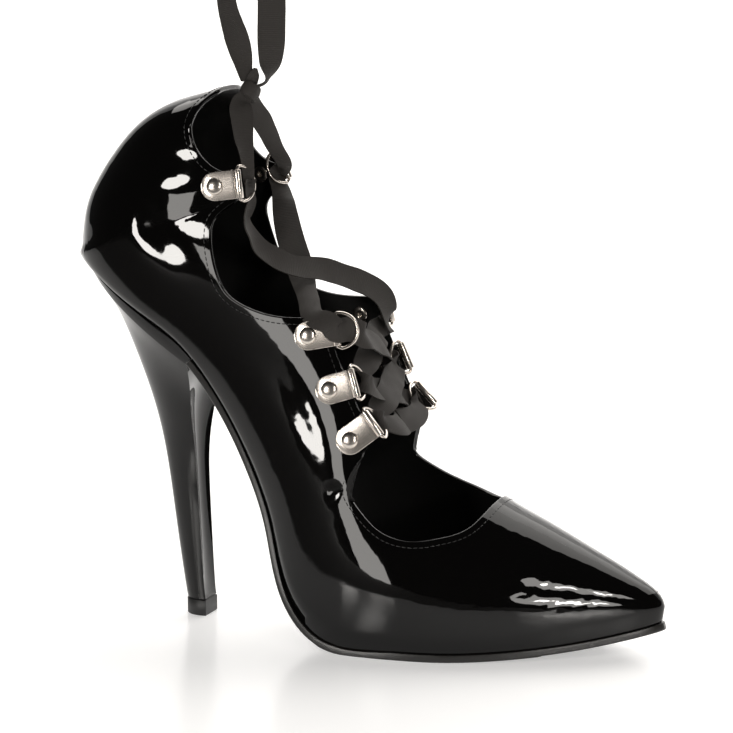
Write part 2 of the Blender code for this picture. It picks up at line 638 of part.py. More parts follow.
class Clip:
    """Axes and sizes of one clip on the upper."""

    barrel = RING_WIRE / 2 + GAP + CLIP_SHEET / 2
    leaf_step = CLIP_SHEET / 2 + GAP / 2

    def __init__(self, row, side_name, side):
        self.name = f"{side_name}_{row[0]}"
        self.side = side
        at = row[1]
        rise, turn, tip = row[2] if side < 0 else row[3]
        self.point, self.out = LAST.frame(at, rise, side)
        turned = math.radians(turn)
        along = np.array([math.cos(turned), 0, math.sin(turned)])
        along -= np.dot(along, self.out) * self.out
        self.along = along / np.linalg.norm(along)
        self.across = np.cross(self.out, self.along)
        self.height = self.bulge(at, rise) + GAP + CLIP_SHEET / 2 + self.leaf_step
        self.edge = self.leather_edge() + GAP
        self.bar = self.edge + self.barrel + CLIP_SHEET / 2
        tipped = math.radians(tip)
        self.ring_way = math.cos(tipped) * self.along - math.sin(tipped) * self.out

    def bulge(self, at, rise):
        """How far the skin under the plate stands above the rivet's own plane."""
        near_at, near_rise = np.meshgrid(at + np.linspace(-0.06, 0.06, 41), rise + np.linspace(-0.2, 0.2, 41))
        reach = LAST.surface(near_at, near_rise, self.side) - self.point
        along, across, out = (reach @ axis for axis in (self.along, self.across, self.out))
        under = (np.abs(across) < CLIP_HALF_WIDTH) & (along > -CLIP_TAIL) & (along < CLIP_TAIL)
        return max(float(out[under].max()), 0.0)

    def leather_edge(self):
        """How far ahead of the rivet the leather reaches under the clip."""
        rim_at, rim_rise = LAST.locate(topline(self.side, 6)[0])
        reach = LAST.surface(rim_at, rim_rise, self.side) - self.point
        along, across = reach @ self.along, reach @ self.across
        ahead = (np.abs(across) < RING_REACH + GAP) & (along > 0) & (along < 3 * CLIP_TAIL)
        return float(along[ahead].max())

    def at(self, along, across, out):
        """World point at a place on the clip's own axes."""
        return self.point + along * self.along + across * self.across + out * self.out

    def bar_centre(self):
        """Middle of the ring's straight bar."""
        return self.at(self.bar, 0, self.height)

    def anchor(self, level):
        """Where a ribbon passes the ring's bow: level 1 above its middle, -1 below it."""
        shift = level * RIBBON_APART / 2
        bow = RING_DEPTH * (1 - (shift / RING_REACH) ** 2) ** (RING_SQUARENESS / 2)
        return self.bar_centre() - shift * self.side * self.across + bow * self.ring_way


def add_strip(shape, centres, faces, halves, thickness):
    """Flat strip of square section along centres, facing faces, with its half-width at each."""
    centres, faces = np.asarray(centres, float), np.asarray(faces, float)
    run = np.gradient(centres, axis=0)
    run /= np.linalg.norm(run, axis=1, keepdims=True)
    faces = faces - np.einsum("ij,ij->i", faces, run)[:, None] * run
    faces /= np.linalg.norm(faces, axis=1, keepdims=True)
    across = np.cross(faces, run)
    rings = []
    for centre, face, wide, half in zip(centres, faces, across, halves):
        lift, reach = face * thickness / 2, wide * half
        rings.append([centre - reach - lift, centre + reach - lift, centre + reach + lift, centre - reach + lift])
    add_rings(shape, rings)


def build_clip(clip, material):
    """Sheet folded double round the ring's bar: lower leaf, barrel, upper leaf."""
    tail = [-CLIP_TAIL, -0.80 * CLIP_TAIL, -0.45 * CLIP_TAIL, 0.0, clip.edge]
    wide = CLIP_HALF_WIDTH
    places, halves, facing = [], [], []
    for along in tail:
        places.append((along, clip.height - clip.leaf_step))
        facing.append((0, -1))
    opening = math.asin(clip.leaf_step / clip.barrel)
    for turn in np.linspace(opening - math.pi, math.pi - opening, 10):
        places.append((clip.bar + clip.barrel * math.cos(turn), clip.height + clip.barrel * math.sin(turn)))
        facing.append((math.cos(turn), math.sin(turn)))
    for along in reversed(tail):
        places.append((along, clip.height + clip.leaf_step))
        facing.append((0, 1))
    for along, _ in places:
        halves.append(wide if along >= 0 else wide * math.sqrt(max(1 - (along / (1.06 * CLIP_TAIL)) ** 2, 0)))
    centres = [clip.at(along, 0, out) for along, out in places]
    faces = [along * clip.along + out * clip.out for along, out in facing]
    fill = lambda shape: add_strip(shape, centres, faces, halves, CLIP_SHEET)
    return add_object(f"clip_{clip.name}", fill, material)


def ring_route(clip):
    """Closed route of the D-ring's wire: straight bar and round bow."""
    corner = RING_REACH - RING_WIRE / 2
    bow = [(RING_REACH * math.cos(turn), RING_DEPTH * math.sin(turn) ** RING_SQUARENESS)
           for turn in np.linspace(0.20, math.pi - 0.20, 13)]
    bar = [(-corner, 0.0), (0.0, 0.0), (corner, 0.0)]
    middle = clip.bar_centre()
    return [middle + across * clip.across + along * clip.ring_way for across, along in bow + bar]


def build_ring(clip, material):
    """Wire D-ring through the clip's barrel."""
    route = ring_route(clip)
    curve = bpy.data.curves.new(f"ring_{clip.name}", "CURVE")
    curve.dimensions = "3D"
    curve.bevel_depth = RING_WIRE / 2
    curve.bevel_resolution = 1
    spline = curve.splines.new("POLY")
    spline.points.add(len(route) - 1)
    for knot, place in zip(spline.points, route):
        knot.co = (*place, 1.0)
    spline.use_cyclic_u = True
    curve.materials.append(material)
    ring = bpy.data.objects.new(f"ring_{clip.name}", curve)
    bpy.context.scene.collection.objects.link(ring)
    return ring


def turned_rings(clip, profile, sides):
    """Rings of a turned shape about the clip's rivet axis, from (radius, height) pairs."""
    rings = []
    for radius, height in profile:
        ring = []
        for k in range(sides):
            turn = 2 * math.pi * k / sides
            ring.append(clip.at(radius * math.cos(turn), radius * math.sin(turn), height))
        rings.append(ring)
    return rings


def build_rivet(clip, material):
    """Domed head on the clip, shank through clip and upper, clenched flange inside."""
    top = clip.height + clip.leaf_step + CLIP_SHEET / 2 + GAP
    inside = -WALL - 2 * GAP
    profile = [(HEAD_RADIUS * math.sin(turn), top + HEAD_HEIGHT * math.cos(turn))
               for turn in (0.35, 0.8, 1.2, math.pi / 2)]
    profile += [(SHANK_RADIUS, top), (SHANK_RADIUS, inside)]
    profile += [(HEAD_RADIUS, inside), (HEAD_RADIUS, inside - CLIP_SHEET)]
    rings = turned_rings(clip, profile, 12)
    return add_object(f"rivet_{clip.name}", lambda shape: add_rings(shape, rings), material)


def drill(thing, clip, cutters):
    """Cut the rivet's hole through a piece."""
    if clip.name not in cutters:
        radius, reach = SHANK_RADIUS + GAP, 4 * WALL
        rings = turned_rings(clip, [(radius, reach), (radius, -reach)], 12)
        fill = lambda shape: add_rings(shape, rings)
        cutter = add_object(f"hole_{clip.name}", fill, thing.data.materials[0], smooth=False)
        cutter.hide_render = True
        cutter.display_type = "WIRE"
        cutters[clip.name] = cutter
    hole = thing.modifiers.new(f"hole {clip.name}", "BOOLEAN")
    hole.operation = "DIFFERENCE"
    hole.object = cutters[clip.name]


def ribbon_fill(route, face, count=13, shift=0.0):
    """Function that adds a ribbon through route points, facing the given way and gathered at both ends."""
    centres = smooth_path(route, eased(count, 1.3, 1.3)) + shift * np.asarray(face)
    faces = np.repeat([face], count, axis=0)
    arc = np.r_[0, np.cumsum(np.linalg.norm(np.diff(centres, axis=0), axis=1))]
    from_end = np.minimum(arc, arc[-1] - arc)
    tight = RIBBON_GATHERED / 2
    halves = tight + (RIBBON_WIDTH / 2 - tight) * np.clip(from_end / RIBBON_WIDTH, 0, 1)
    return lambda shape: add_strip(shape, centres, faces, halves, RIBBON_THICKNESS)


def wire_distance(points, wire):
    """Least distance from points to the middle of a closed wire."""
    starts = np.asarray(wire)
    runs = np.roll(starts, -1, axis=0) - starts
    reach = points[:, None] - starts[None]
    share = np.einsum("ijk,jk->ij", reach, runs) / np.einsum("jk,jk->j", runs, runs)
    share = np.clip(share, 0, 1)[..., None]
    return np.linalg.norm(reach - share * runs[None], axis=2).min()


def strand_end(clip, level, toward, face):
    """End of a ribbon that leaves a ring, its cut edge and first stretch just clear of the wire."""
    start = clip.anchor(level)
    run = (toward - start) / np.linalg.norm(toward - start)
    across = np.cross(face, run)
    across /= np.linalg.norm(across)
    wire = ring_route(clip)
    needed = RING_WIRE / 2 + RIBBON_THICKNESS / 2 + GAP
    spread = np.linspace(-1, 1, 7)[None, :, None] * across * RIBBON_GATHERED / 2
    ahead = np.linspace(0, RIBBON_WIDTH / 4, 6)[:, None, None] * run
    patch = (ahead + spread).reshape(-1, 3)
    step = needed
    while wire_distance(start + step * run + patch, wire) < needed:
        step += GAP / 4
    return start + step * run


def build_cross(number, ends, vias, face, material):
    """Two strands that cross between one pair of rings and the next, joined where they cross."""
    places = [clip.anchor(level) for clip, level in ends]
    middle = sum(places) / 4
    routes = []
    for (first, last), via in zip(((0, 3), (1, 2)), vias or ((middle,), (middle,))):
        start = strand_end(*ends[first], np.asarray(via[0]), face)
        end = strand_end(*ends[last], np.asarray(via[-1]), face)
        routes.append([start, *via, end])
    shift = RIBBON_THICKNESS / 3
    cross = add_object(f"lace_cross_{number}", ribbon_fill(routes[0], face, shift=shift), material)
    other = add_object(f"lace_under_{number}", ribbon_fill(routes[1], face), material)
    other.hide_render = True
    other.display_type = "WIRE"
    union = cross.modifiers.new("join the crossing", "BOOLEAN")
    union.operation = "UNION"
    union.object = other
    return cross


def build_knot(material):
    """Tied knot above the collar."""
    def fill(shape):
        bmesh.ops.create_uvsphere(shape, u_segments=12, v_segments=8, radius=0.5)
        for vert in shape.verts:
            vert.co = [KNOT_PLACE[k] + vert.co[k] * KNOT_SIZE[k] for k in range(3)]
    return add_object("lace_knot", fill, material)


def build_lace(clips, material):
    """Bar and crossings between the rings, risers to the knot, the knot and the loop above it."""
    forward = np.array([0.80, 0.0, 0.60])
    names = [row[0] for row in CLIPS]
    for number, (upper, lower) in enumerate(zip(names[:-1], names[1:])):
        ends = [(clips[f"{side}_{upper}"], -1) for side, _ in SIDES]
        ends += [(clips[f"{side}_{lower}"], 1) for side, _ in SIDES]
        vias = LONG_CROSSING if number == 0 else None
        build_cross(number + 1, ends, vias, forward, material)
    outer, inner = (clips[f"{side}_{names[-1]}"] for side, _ in SIDES)
    below = (outer.anchor(-1) + inner.anchor(-1)) / 2 + np.array([0.0, 0.0, -0.5 * RIBBON_WIDTH])
    start, end = (strand_end(clip, -1, below, forward) for clip in (outer, inner))
    add_object("lace_bar", ribbon_fill([start, below, end], forward, count=9), material)
    knot = np.array(KNOT_PLACE)
    for (side_name, side), via in zip(SIDES, RISERS):
        end = knot + np.array([0, side * KNOT_SIZE[1] / 3, -0.5 * KNOT_SIZE[2]])
        face = np.array(RISER_FACES[side_name])
        start = strand_end(clips[f"{side_name}_{names[0]}"], 1, np.asarray(via[0]), face)
        add_object(f"lace_riser_{side_name}", ribbon_fill([start, *via, end], face, count=11), material)
    build_knot(material)
    count = 31
    rows = smooth_path(LOOP_ROUTE, np.linspace(0, 1, count))
    centres, turns = rows[:, :3], np.radians(rows[:, 3:])
    outside = centres - np.mean(centres, axis=0)
    outside[:, 1] = 0
    outside /= np.linalg.norm(outside, axis=1, keepdims=True)
    faces = np.cos(turns) * outside - np.abs(np.sin(turns)) * np.array([[0.0, 1.0, 0.0]])
    share = np.linspace(0, 1, count)
    halves = RIBBON_WIDTH / 2 * np.clip(0.35 + 5 * np.minimum(share, 1 - share), 0, 1)
    fill = lambda shape: add_strip(shape, centres, faces, halves, RIBBON_THICKNESS)
    add_object("lace_loop", fill, material)


def main():
    """Build every piece in place of what the scene held."""
    for thing in list(bpy.data.objects):
        bpy.data.objects.remove(thing, do_unlink=True)
    finish = {name: make_material(name) for name in MATERIALS}
    upper = build_upper(finish["patent"])
    build_outsole(finish["sole"])
    build_insole(finish["lining"])
    build_heel(finish["patent"])
    build_heel_tip(finish["lift"])
    clips, cutters = {}, {}
    for side_name, side in SIDES:
        for row in CLIPS:
            clip = Clip(row, side_name, side)
            clips[clip.name] = clip
            plate = build_clip(clip, finish["nickel"])
            build_ring(clip, finish["nickel"])
            build_rivet(clip, finish["nickel"])
            drill(plate, clip, cutters)
            drill(upper, clip, cutters)
    build_lace(clips, finish["ribbon"])


main()
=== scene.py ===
"""Dressed scene of the right lace-up stiletto pump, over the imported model's frame."""

import logging
import math
from dataclasses import dataclass, field
from enum import Enum
from typing import Callable, Sequence

import bmesh
import bpy
import numpy as np
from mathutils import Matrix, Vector


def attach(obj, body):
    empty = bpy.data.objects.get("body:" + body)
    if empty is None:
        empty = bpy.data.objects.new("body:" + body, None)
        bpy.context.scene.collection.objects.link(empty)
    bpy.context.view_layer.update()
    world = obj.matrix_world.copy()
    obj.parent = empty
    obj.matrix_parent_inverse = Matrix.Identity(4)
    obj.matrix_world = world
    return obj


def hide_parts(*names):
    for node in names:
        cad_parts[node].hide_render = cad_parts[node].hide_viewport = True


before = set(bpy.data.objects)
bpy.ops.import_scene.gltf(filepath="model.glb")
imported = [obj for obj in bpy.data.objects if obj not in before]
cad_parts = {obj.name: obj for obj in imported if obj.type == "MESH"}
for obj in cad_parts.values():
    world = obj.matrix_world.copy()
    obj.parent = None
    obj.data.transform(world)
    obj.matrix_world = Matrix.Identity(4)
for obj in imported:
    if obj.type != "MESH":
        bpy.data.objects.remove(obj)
LOG = logging.getLogger("scene")

# Last
LAST_LENGTH = 0.2192        # seat back to toe tip, along the floor
SEAT_SETBACK = 0.0445       # seat back behind the heel tip's centre
SEAT_HEIGHT = 0.134         # feather edge at the seat back, above the floor
BACK_HEIGHT = 0.0632        # the last's back above the seat
BALL_WIDTH = 0.0748
INSTEP_DEPTH = 0.0837       # deepest section, from feather to ridge
TOE_DEPTH = 0.001           # least depth of a section
TOE_SWAY = 0.003            # toe tip towards the inner side
WAIST_TUCK = 0.0012         # waist towards the outer side

# Upper, sole, insole and heel
WALL = 0.0017
EDGE_CROWN = 0.6            # height of the topline's rolled edge, as a share of half the wall
GAP = 0.0003
SOLE = 0.0026
SOLE_MARGIN = 0.0007        # sole edge outside the upper
TREAD_FLAT = 0.00025        # worn flat where the sole meets the floor
INSOLE = 0.0019
TOE_BLUNT = 0.00005         # how far short of its point a layer ends
LAYER_POINT = 0.0003        # half-width of a layer's point above its chamfer
TIP_HEIGHT = 0.006
TIP_MARGIN = 0.0002

# Clips, rings and rivets
CLIP_HALF_WIDTH = 0.0051
CLIP_SHEET = 0.0005
CLIP_TAIL = 0.0050          # round end behind the rivet
RING_WIRE = 0.0012
RING_DEPTH = 0.0078
RING_REACH = CLIP_HALF_WIDTH + 2 * GAP + RING_WIRE / 2
RING_SQUARENESS = 0.8       # 1 for a round bow, less for a squarer one
RING_BAR = ((-1.01, 0.5), (-0.96, 0.1), (-0.8, 0.0), (0.0, 0.0), (0.8, 0.0), (0.96, 0.1), (1.01, 0.5))
HEAD_RADIUS = 0.0030
HEAD_HEIGHT = 0.0013
SHANK_RADIUS = 0.0011

RIBBON_APART = 0.0046       # between the middles of two gathered ribbons in one ring

TREAD = SOLE + GAP

# The last's sections, collar to toe. at: place along feather and back; along: share of LAST_LENGTH;
# up: share of SEAT_HEIGHT, above 1 of BACK_HEIGHT; lean: degrees forward; depth: share of INSTEP_DEPTH;
# feather and widest: half-widths as shares of BALL_WIDTH; rise: where it is widest; crown: roundness.
LAST_COLUMNS = ("at", "along", "up", "lean", "depth", "feather", "widest", "rise", "crown")
LAST_SECTIONS = (
    (0.014, 0.257, 1.973, 128.0, 0.70, 0.000, 0.296, 0.405, 2.8),
    (0.032, 0.227, 1.941, 125.0, 0.72, 0.000, 0.301, 0.40, 2.8),
    (0.064, 0.175, 1.886, 108.0, 0.78, 0.000, 0.313, 0.385, 2.7),
    (0.099, 0.120, 1.783, 94.0, 0.85, 0.000, 0.321, 0.37, 2.3),
    (0.155, 0.052, 1.538, 83.0, 1.06, 0.000, 0.337, 0.34, 1.95),
    (0.208, 0.009, 1.253, 75.7, 1.21, 0.000, 0.374, 0.32, 1.9),
    (0.250, 0.000, 1.000, 71.6, 1.29, 0.000, 0.388, 0.30, 1.9),
    (0.283, 0.049, 0.950, 69.0, 1.19, 0.214, 0.394, 0.30, 2.0),
    (0.341, 0.136, 0.861, 63.0, 1.04, 0.314, 0.394, 0.31, 2.1),
    (0.393, 0.211, 0.779, 59.4, 0.92, 0.321, 0.388, 0.33, 2.2),
    (0.444, 0.268, 0.661, 55.5, 0.88, 0.287, 0.385, 0.36, 2.3),
    (0.518, 0.330, 0.471, 50.0, 0.87, 0.261, 0.394, 0.40, 2.3),
    (0.583, 0.374, 0.294, 46.0, 0.90, 0.287, 0.421, 0.40, 2.2),
    (0.655, 0.418, 0.098, 35.5, 1.00, 0.381, 0.461, 0.34, 2.1),
    (0.698, 0.476, 0.016, 27.0, 0.98, 0.448, 0.489, 0.29, 2.0),
    (0.755, 0.575, 0.000, 18.6, 0.81, 0.471, 0.500, 0.27, 1.9),
    (0.812, 0.675, 0.002, 9.0, 0.635, 0.445, 0.471, 0.28, 1.85),
    (0.874, 0.784, 0.012, 5.0, 0.490, 0.352, 0.374, 0.30, 1.85),
    (0.932, 0.884, 0.032, 4.0, 0.336, 0.219, 0.238, 0.34, 1.9),
    (0.974, 0.956, 0.057, 6.0, 0.198, 0.116, 0.131, 0.40, 2.0),
    (0.993, 0.988, 0.070, 10.0, 0.118, 0.057, 0.070, 0.45, 2.0),
    (1.000, 1.000, 0.075, 16.0, 0.040, 0.000, 0.000, 0.50, 2.0),
)
SEAT_ROW = 6

# The topline from the collar's back to the throat, as shares of the last. columns: mesh columns of the
# piece; feather: the place on the feather edge below the piece's end; rows: (at, rise, medial rise).
TOPLINE_PIECES = (
    ("collar scallop", 9, 0.335, (
        (0.014, 0.00, 0.00), (0.016, 0.016, 0.016), (0.021, 0.035, 0.035), (0.0315, 0.074, 0.074),
        (0.044, 0.133, 0.133), (0.060, 0.207, 0.207), (0.084, 0.308, 0.308), (0.110, 0.396, 0.392),
        (0.143, 0.471, 0.461), (0.171, 0.544, 0.524), (0.193, 0.61, 0.58), (0.210, 0.675, 0.643))),
    ("ankle tab", 2, 0.362, (
        (0.210, 0.675, 0.643), (0.249, 0.68, 0.648))),
    ("side scallop", 10, 0.535, (
        (0.249, 0.68, 0.648), (0.254, 0.64, 0.612), (0.269, 0.57, 0.55), (0.302, 0.51, 0.50),
        (0.343, 0.43, 0.43), (0.374, 0.39, 0.39), (0.397, 0.42, 0.42), (0.416, 0.49, 0.49),
        (0.449, 0.72, 0.72))),
    ("instep tab", 6, 0.670, (
        (0.449, 0.72, 0.72), (0.526, 0.71, 0.705), (0.579, 0.72, 0.70), (0.593, 0.72, 0.70))),
    ("vamp opening", 15, 1.000, (
        (0.593, 0.72, 0.70), (0.605, 0.65, 0.635), (0.612, 0.58, 0.585), (0.627, 0.54, 0.575),
        (0.660, 0.555, 0.615), (0.708, 0.57, 0.675), (0.750, 0.605, 0.725), (0.790, 0.71, 0.80),
        (0.816, 0.83, 0.885), (0.828, 1.00, 1.00))),
)
COLLAR_EASE = (2.3, 2.0)     # powers that space the mesh's columns at the back: topline, feather
THROAT_EASE = (2.0, 2.0)

# Heel rings from seat to tip. back and front: shares of SEAT_SETBACK behind and ahead of the tip's
# centre; back_up and front_up: shares of SEAT_HEIGHT; half: share of the seat's half-width; hollow:
# how far the breast sinks, as a share of the ring's depth. The lip is the ring level with the sole's
# underside, with its back as (back, back_up).
HEEL_LIP_BACK = (0.951, 0.978)
HEEL_COLUMNS = ("back", "back_up", "front", "front_up", "half", "hollow")
HEEL_RINGS = (
    (0.748, 0.878, 0.075, 0.674, 0.745, 0.03),
    (0.575, 0.748, 0.036, 0.610, 0.535, 0.07),
    (0.425, 0.612, 0.014, 0.532, 0.385, 0.10),
    (0.310, 0.455, 0.012, 0.428, 0.262, 0.11),
    (0.222, 0.254, 0.036, 0.246, 0.228, 0.10),
    (0.150, 0.090, 0.063, 0.090, 0.212, 0.05),
)
BREAST_AT = 0.412
HEEL_TIP_BACK = 0.0056
HEEL_TIP_FRONT = 0.0034
HEEL_TIP_HALF = 0.0049

# Clips: name and place of the rivet along the foot, then for the outer and the inner side its rise, the
# turn of the clip in the side view (degrees up from +X) and how far the ring tips in towards the foot.
CLIPS = (
    ("ankle", 0.222, (0.61, 8.5, 58.0), (0.578, 22.0, 108.0)),
    ("instep_1", 0.457, (0.62, 12.0, 8.0), (0.61, 14.0, 78.0)),
    ("instep_2", 0.519, (0.62, 19.0, 74.0), (0.62, 24.0, 98.0)),
    ("instep_3", 0.576, (0.63, 39.0, 78.0), (0.607, 44.0, 96.0)),
)
SIDES = (("outer", -1.0), ("inner", 1.0))

# The loop above the knot. x, y, z; turn: how far the ribbon's face is turned from the loop's outside
# towards the outer side, degrees.
LOOP_ROUTE = (
    (0.0188, 0.000, 0.1971, 80.0), (0.0180, -0.002, 0.2060, 85.0), (0.0163, -0.003, 0.2135, 80.0),
    (0.0140, -0.003, 0.2201, 66.0), (0.0127, -0.003, 0.2262, 58.0), (0.0128, -0.002, 0.2340, 40.0),
    (0.0160, -0.001, 0.2415, 15.0), (0.0210, 0.001, 0.2440, 0.0), (0.0255, 0.002, 0.2410, -15.0),
    (0.0272, 0.003, 0.2335, -40.0), (0.0274, 0.004, 0.2260, -52.0), (0.0273, 0.004, 0.2180, -64.0),
    (0.0272, 0.004, 0.2090, -30.0), (0.0268, 0.004, 0.2015, -12.0), (0.0255, 0.003, 0.1965, -5.0),
)


class Spline:
    """Natural cubic through values at the given places."""

    def __init__(self, at: Sequence, values: Sequence) -> None:
        """Solves for the curve's bends.

        Args:
            at: Places of the values, rising.
            values: Values there.
        """
        self.at = np.asarray(at, float)
        self.values = np.asarray(values, float)
        count = len(self.at)
        step = np.diff(self.at)
        matrix = np.eye(count)
        right = np.zeros(count)
        for i in range(1, count - 1):
            before, after = step[i - 1], step[i]
            matrix[i, i - 1:i + 2] = before, 2 * (before + after), after
            rise_after = (self.values[i + 1] - self.values[i]) / after
            rise_before = (self.values[i] - self.values[i - 1]) / before
            right[i] = 6 * (rise_after - rise_before)
        self.bend = np.linalg.solve(matrix, right)

    def __call__(self, at: Sequence) -> np.ndarray:
        """Reads the curve.

        Args:
            at: Places.

        Returns:
            The values there.
        """
        at = np.asarray(at, float)
        i = np.clip(np.searchsorted(self.at, at, side="right") - 1, 0, len(self.at) - 2)
        step = self.at[i + 1] - self.at[i]
        b = (at - self.at[i]) / step
        a = 1 - b
        straight = a * self.values[i] + b * self.values[i + 1]
        curved = (a ** 3 - a) * self.bend[i] + (b ** 3 - b) * self.bend[i + 1]
        return straight + curved * step * step / 6


def eased(count: int, start: float = 1.0, end: float = 1.0) -> np.ndarray:
    """Spaces shares from 0 to 1, closer together at an end whose power is above 1.

    Args:
        count: How many.
        start: Power at the start.
        end: Power at the end.

    Returns:
        The shares.
    """
    share = np.linspace(0, 1, count)
    from_start = share ** start
    from_end = 1 - (1 - share) ** end
    return (1 - share) * from_start + share * from_end


def chord_lengths(points: np.ndarray) -> np.ndarray:
    """Lengths along a run of points, from its first one."""
    return np.r_[0, np.cumsum(np.linalg.norm(np.diff(points, axis=0), axis=1))]


def smooth_path(points: Sequence, shares: np.ndarray) -> np.ndarray:
    """Runs a natural cubic through points.

    Args:
        points: Points of the path.
        shares: Shares of its chord length.

    Returns:
        Points at those shares.
    """
    points = np.asarray(points, float)
    chord = chord_lengths(points)
    return np.stack([Spline(chord, values)(shares * chord[-1]) for values in points.T], axis=-1)


def column(table: Sequence, columns: Sequence[str], name: str) -> np.ndarray:
    """One named column of a table."""
    return np.array([row[columns.index(name)] for row in table], float)


def unit(vectors: np.ndarray) -> np.ndarray:
    """Vectors at length 1."""
    return vectors / np.linalg.norm(vectors, axis=-1, keepdims=True)


class Last:
    """The form that the upper is pulled over, as sections fanned along its foot."""

    fan_count = 900
    waist_at = 0.58
    waist_spread = 0.09
    toe_from = 0.755

    def __init__(self) -> None:
        """Runs curves through the table of sections."""
        get = {name: column(LAST_SECTIONS, LAST_COLUMNS, name) for name in LAST_COLUMNS}
        at = get["at"]
        x = get["along"] * LAST_LENGTH - SEAT_SETBACK
        low = TREAD + get["up"] * (SEAT_HEIGHT - TREAD)
        high = SEAT_HEIGHT + (get["up"] - 1) * BACK_HEIGHT
        z = np.where(get["up"] > 1, high, low)
        seat = SEAT_ROW
        self.seat_at = at[seat]
        self.back = [Spline(at[:seat + 1], values[:seat + 1]) for values in (x, z)]
        self.base = [Spline(at[seat:], values[seat:]) for values in (x, z)]
        self.lean = Spline(at, np.radians(get["lean"]))
        self.depth_squared = Spline(at, (get["depth"] * INSTEP_DEPTH) ** 2)
        self.feather_squared = Spline(at[seat:], (get["feather"][seat:] * BALL_WIDTH) ** 2)
        self.widest_squared = Spline(at, (get["widest"] * BALL_WIDTH) ** 2)
        self.rise = Spline(at, get["rise"])
        self.crown = Spline(at, get["crown"])
        self.fan_at = np.linspace(at[0], 1, self.fan_count)
        self.fan = self.section(self.fan_at)

    def foot(self, at: np.ndarray) -> np.ndarray:
        """Finds the side view point of the foot line.

        Args:
            at: Places on it, on the back above the seat and on the feather line below.

        Returns:
            The points.
        """
        at = np.asarray(at, float)
        pair = [np.where(at < self.seat_at, self.back[k](at), self.base[k](at)) for k in (0, 1)]
        return np.stack(pair, axis=-1)

    def section(self, at: np.ndarray) -> tuple[np.ndarray, np.ndarray, np.ndarray]:
        """Describes the section at a place.

        Args:
            at: Place on the foot line.

        Returns:
            Its foot point, the direction to its ridge and its depth.
        """
        lean = self.lean(at)
        direction = np.stack([np.sin(lean), np.cos(lean)], axis=-1)
        return self.foot(at), direction, np.sqrt(np.maximum(self.depth_squared(at), TOE_DEPTH ** 2))

    def feather(self, at: np.ndarray) -> np.ndarray:
        """Half-width of the feather edge."""
        at = np.asarray(at, float)
        half = np.sqrt(np.maximum(self.feather_squared(at), 0))
        return np.where(at < self.seat_at, 0, half)

    def half_width(self, at: np.ndarray, rise: np.ndarray) -> np.ndarray:
        """Measures the last's half-width.

        Args:
            at: Place on the foot line.
            rise: Share of the section's depth.

        Returns:
            The half-width there.
        """
        foot = self.feather(at)
        widest = np.sqrt(np.maximum(self.widest_squared(at), 0))
        belly, crown = self.rise(at), self.crown(at)
        rise = np.clip(rise, 0, 1)
        below = 1 - np.clip(rise / belly, 0, 1)
        above = np.clip((rise - belly) / (1 - belly), 0, 1)
        lower = foot + (widest - foot) * np.maximum(1 - below ** crown, 0) ** (1 / crown)
        upper = widest * np.maximum(1 - above ** crown, 0) ** (1 / crown)
        return np.where(rise < belly, lower, upper)

    def centre(self, at: np.ndarray) -> np.ndarray:
        """How far the last's middle line sways towards the inner side."""
        at = np.asarray(at, float)
        toe = np.clip((at - self.toe_from) / (1 - self.toe_from), 0, 1)
        waist = np.exp(-((at - self.waist_at) / self.waist_spread) ** 2)
        return TOE_SWAY * toe * toe * (3 - 2 * toe) - WAIST_TUCK * waist

    def place(self, at: np.ndarray, rise: np.ndarray) -> np.ndarray:
        """Side view point at a share of a section's depth."""
        foot, direction, depth = self.section(at)
        return foot + (np.asarray(rise) * depth)[..., None] * direction

    def locate(self, points: np.ndarray) -> tuple[np.ndarray, np.ndarray]:
        """Finds which section a side view point is on.

        Args:
            points: The points.

        Returns:
            The section's place and the share of its depth, for each point.
        """
        foot, direction, depth = self.fan
        reach = points[:, None, :] - foot[None]
        ahead = direction[None, :, 0] * reach[..., 1] - direction[None, :, 1] * reach[..., 0]
        share = np.einsum("ijk,jk->ij", reach, direction) / depth[None]
        crossed = (ahead[:, :-1] >= 0) & (ahead[:, 1:] < 0)
        crossed &= (share[:, :-1] > -0.3) & (share[:, :-1] < 1.4)
        first = np.where(crossed.any(axis=1), crossed.argmax(axis=1), np.abs(ahead[:, :-1]).argmin(axis=1))
        rows = np.arange(len(points))
        before, after = ahead[rows, first], ahead[rows, first + 1]
        part = np.clip(before / np.where(before == after, 1, before - after), 0, 1)
        at = self.fan_at[first] + part * (self.fan_at[1] - self.fan_at[0])
        foot, direction, depth = self.section(at)
        return at, np.einsum("ij,ij->i", points - foot, direction) / depth

    def surface(self, at: np.ndarray, rise: np.ndarray, side: float) -> np.ndarray:
        """Finds a point on the last's skin.

        Args:
            at: Place on the foot line.
            rise: Share of the section's depth.
            side: -1 for the outer side, 1 for the inner one.

        Returns:
            The point.
        """
        flat = self.place(at, rise)
        y = self.centre(at) + side * self.half_width(at, rise)
        return np.stack([flat[..., 0], y, flat[..., 1]], axis=-1)

    def frame(self, at: float, rise: float, side: float) -> tuple[np.ndarray, np.ndarray]:
        """Finds a skin point with its outward normal.

        Args:
            at: Place on the foot line.
            rise: Share of the section's depth.
            side: -1 for the outer side, 1 for the inner one.

        Returns:
            The point and the normal.
        """
        step = 0.002
        along = self.surface(at + step, rise, side) - self.surface(at - step, rise, side)
        around = self.surface(at, rise + step, side) - self.surface(at, rise - step, side)
        normal = np.cross(along, around)
        normal /= np.linalg.norm(normal)
        normal *= np.sign(normal[1] * side)
        return self.surface(at, rise, side), normal


LAST = Last()


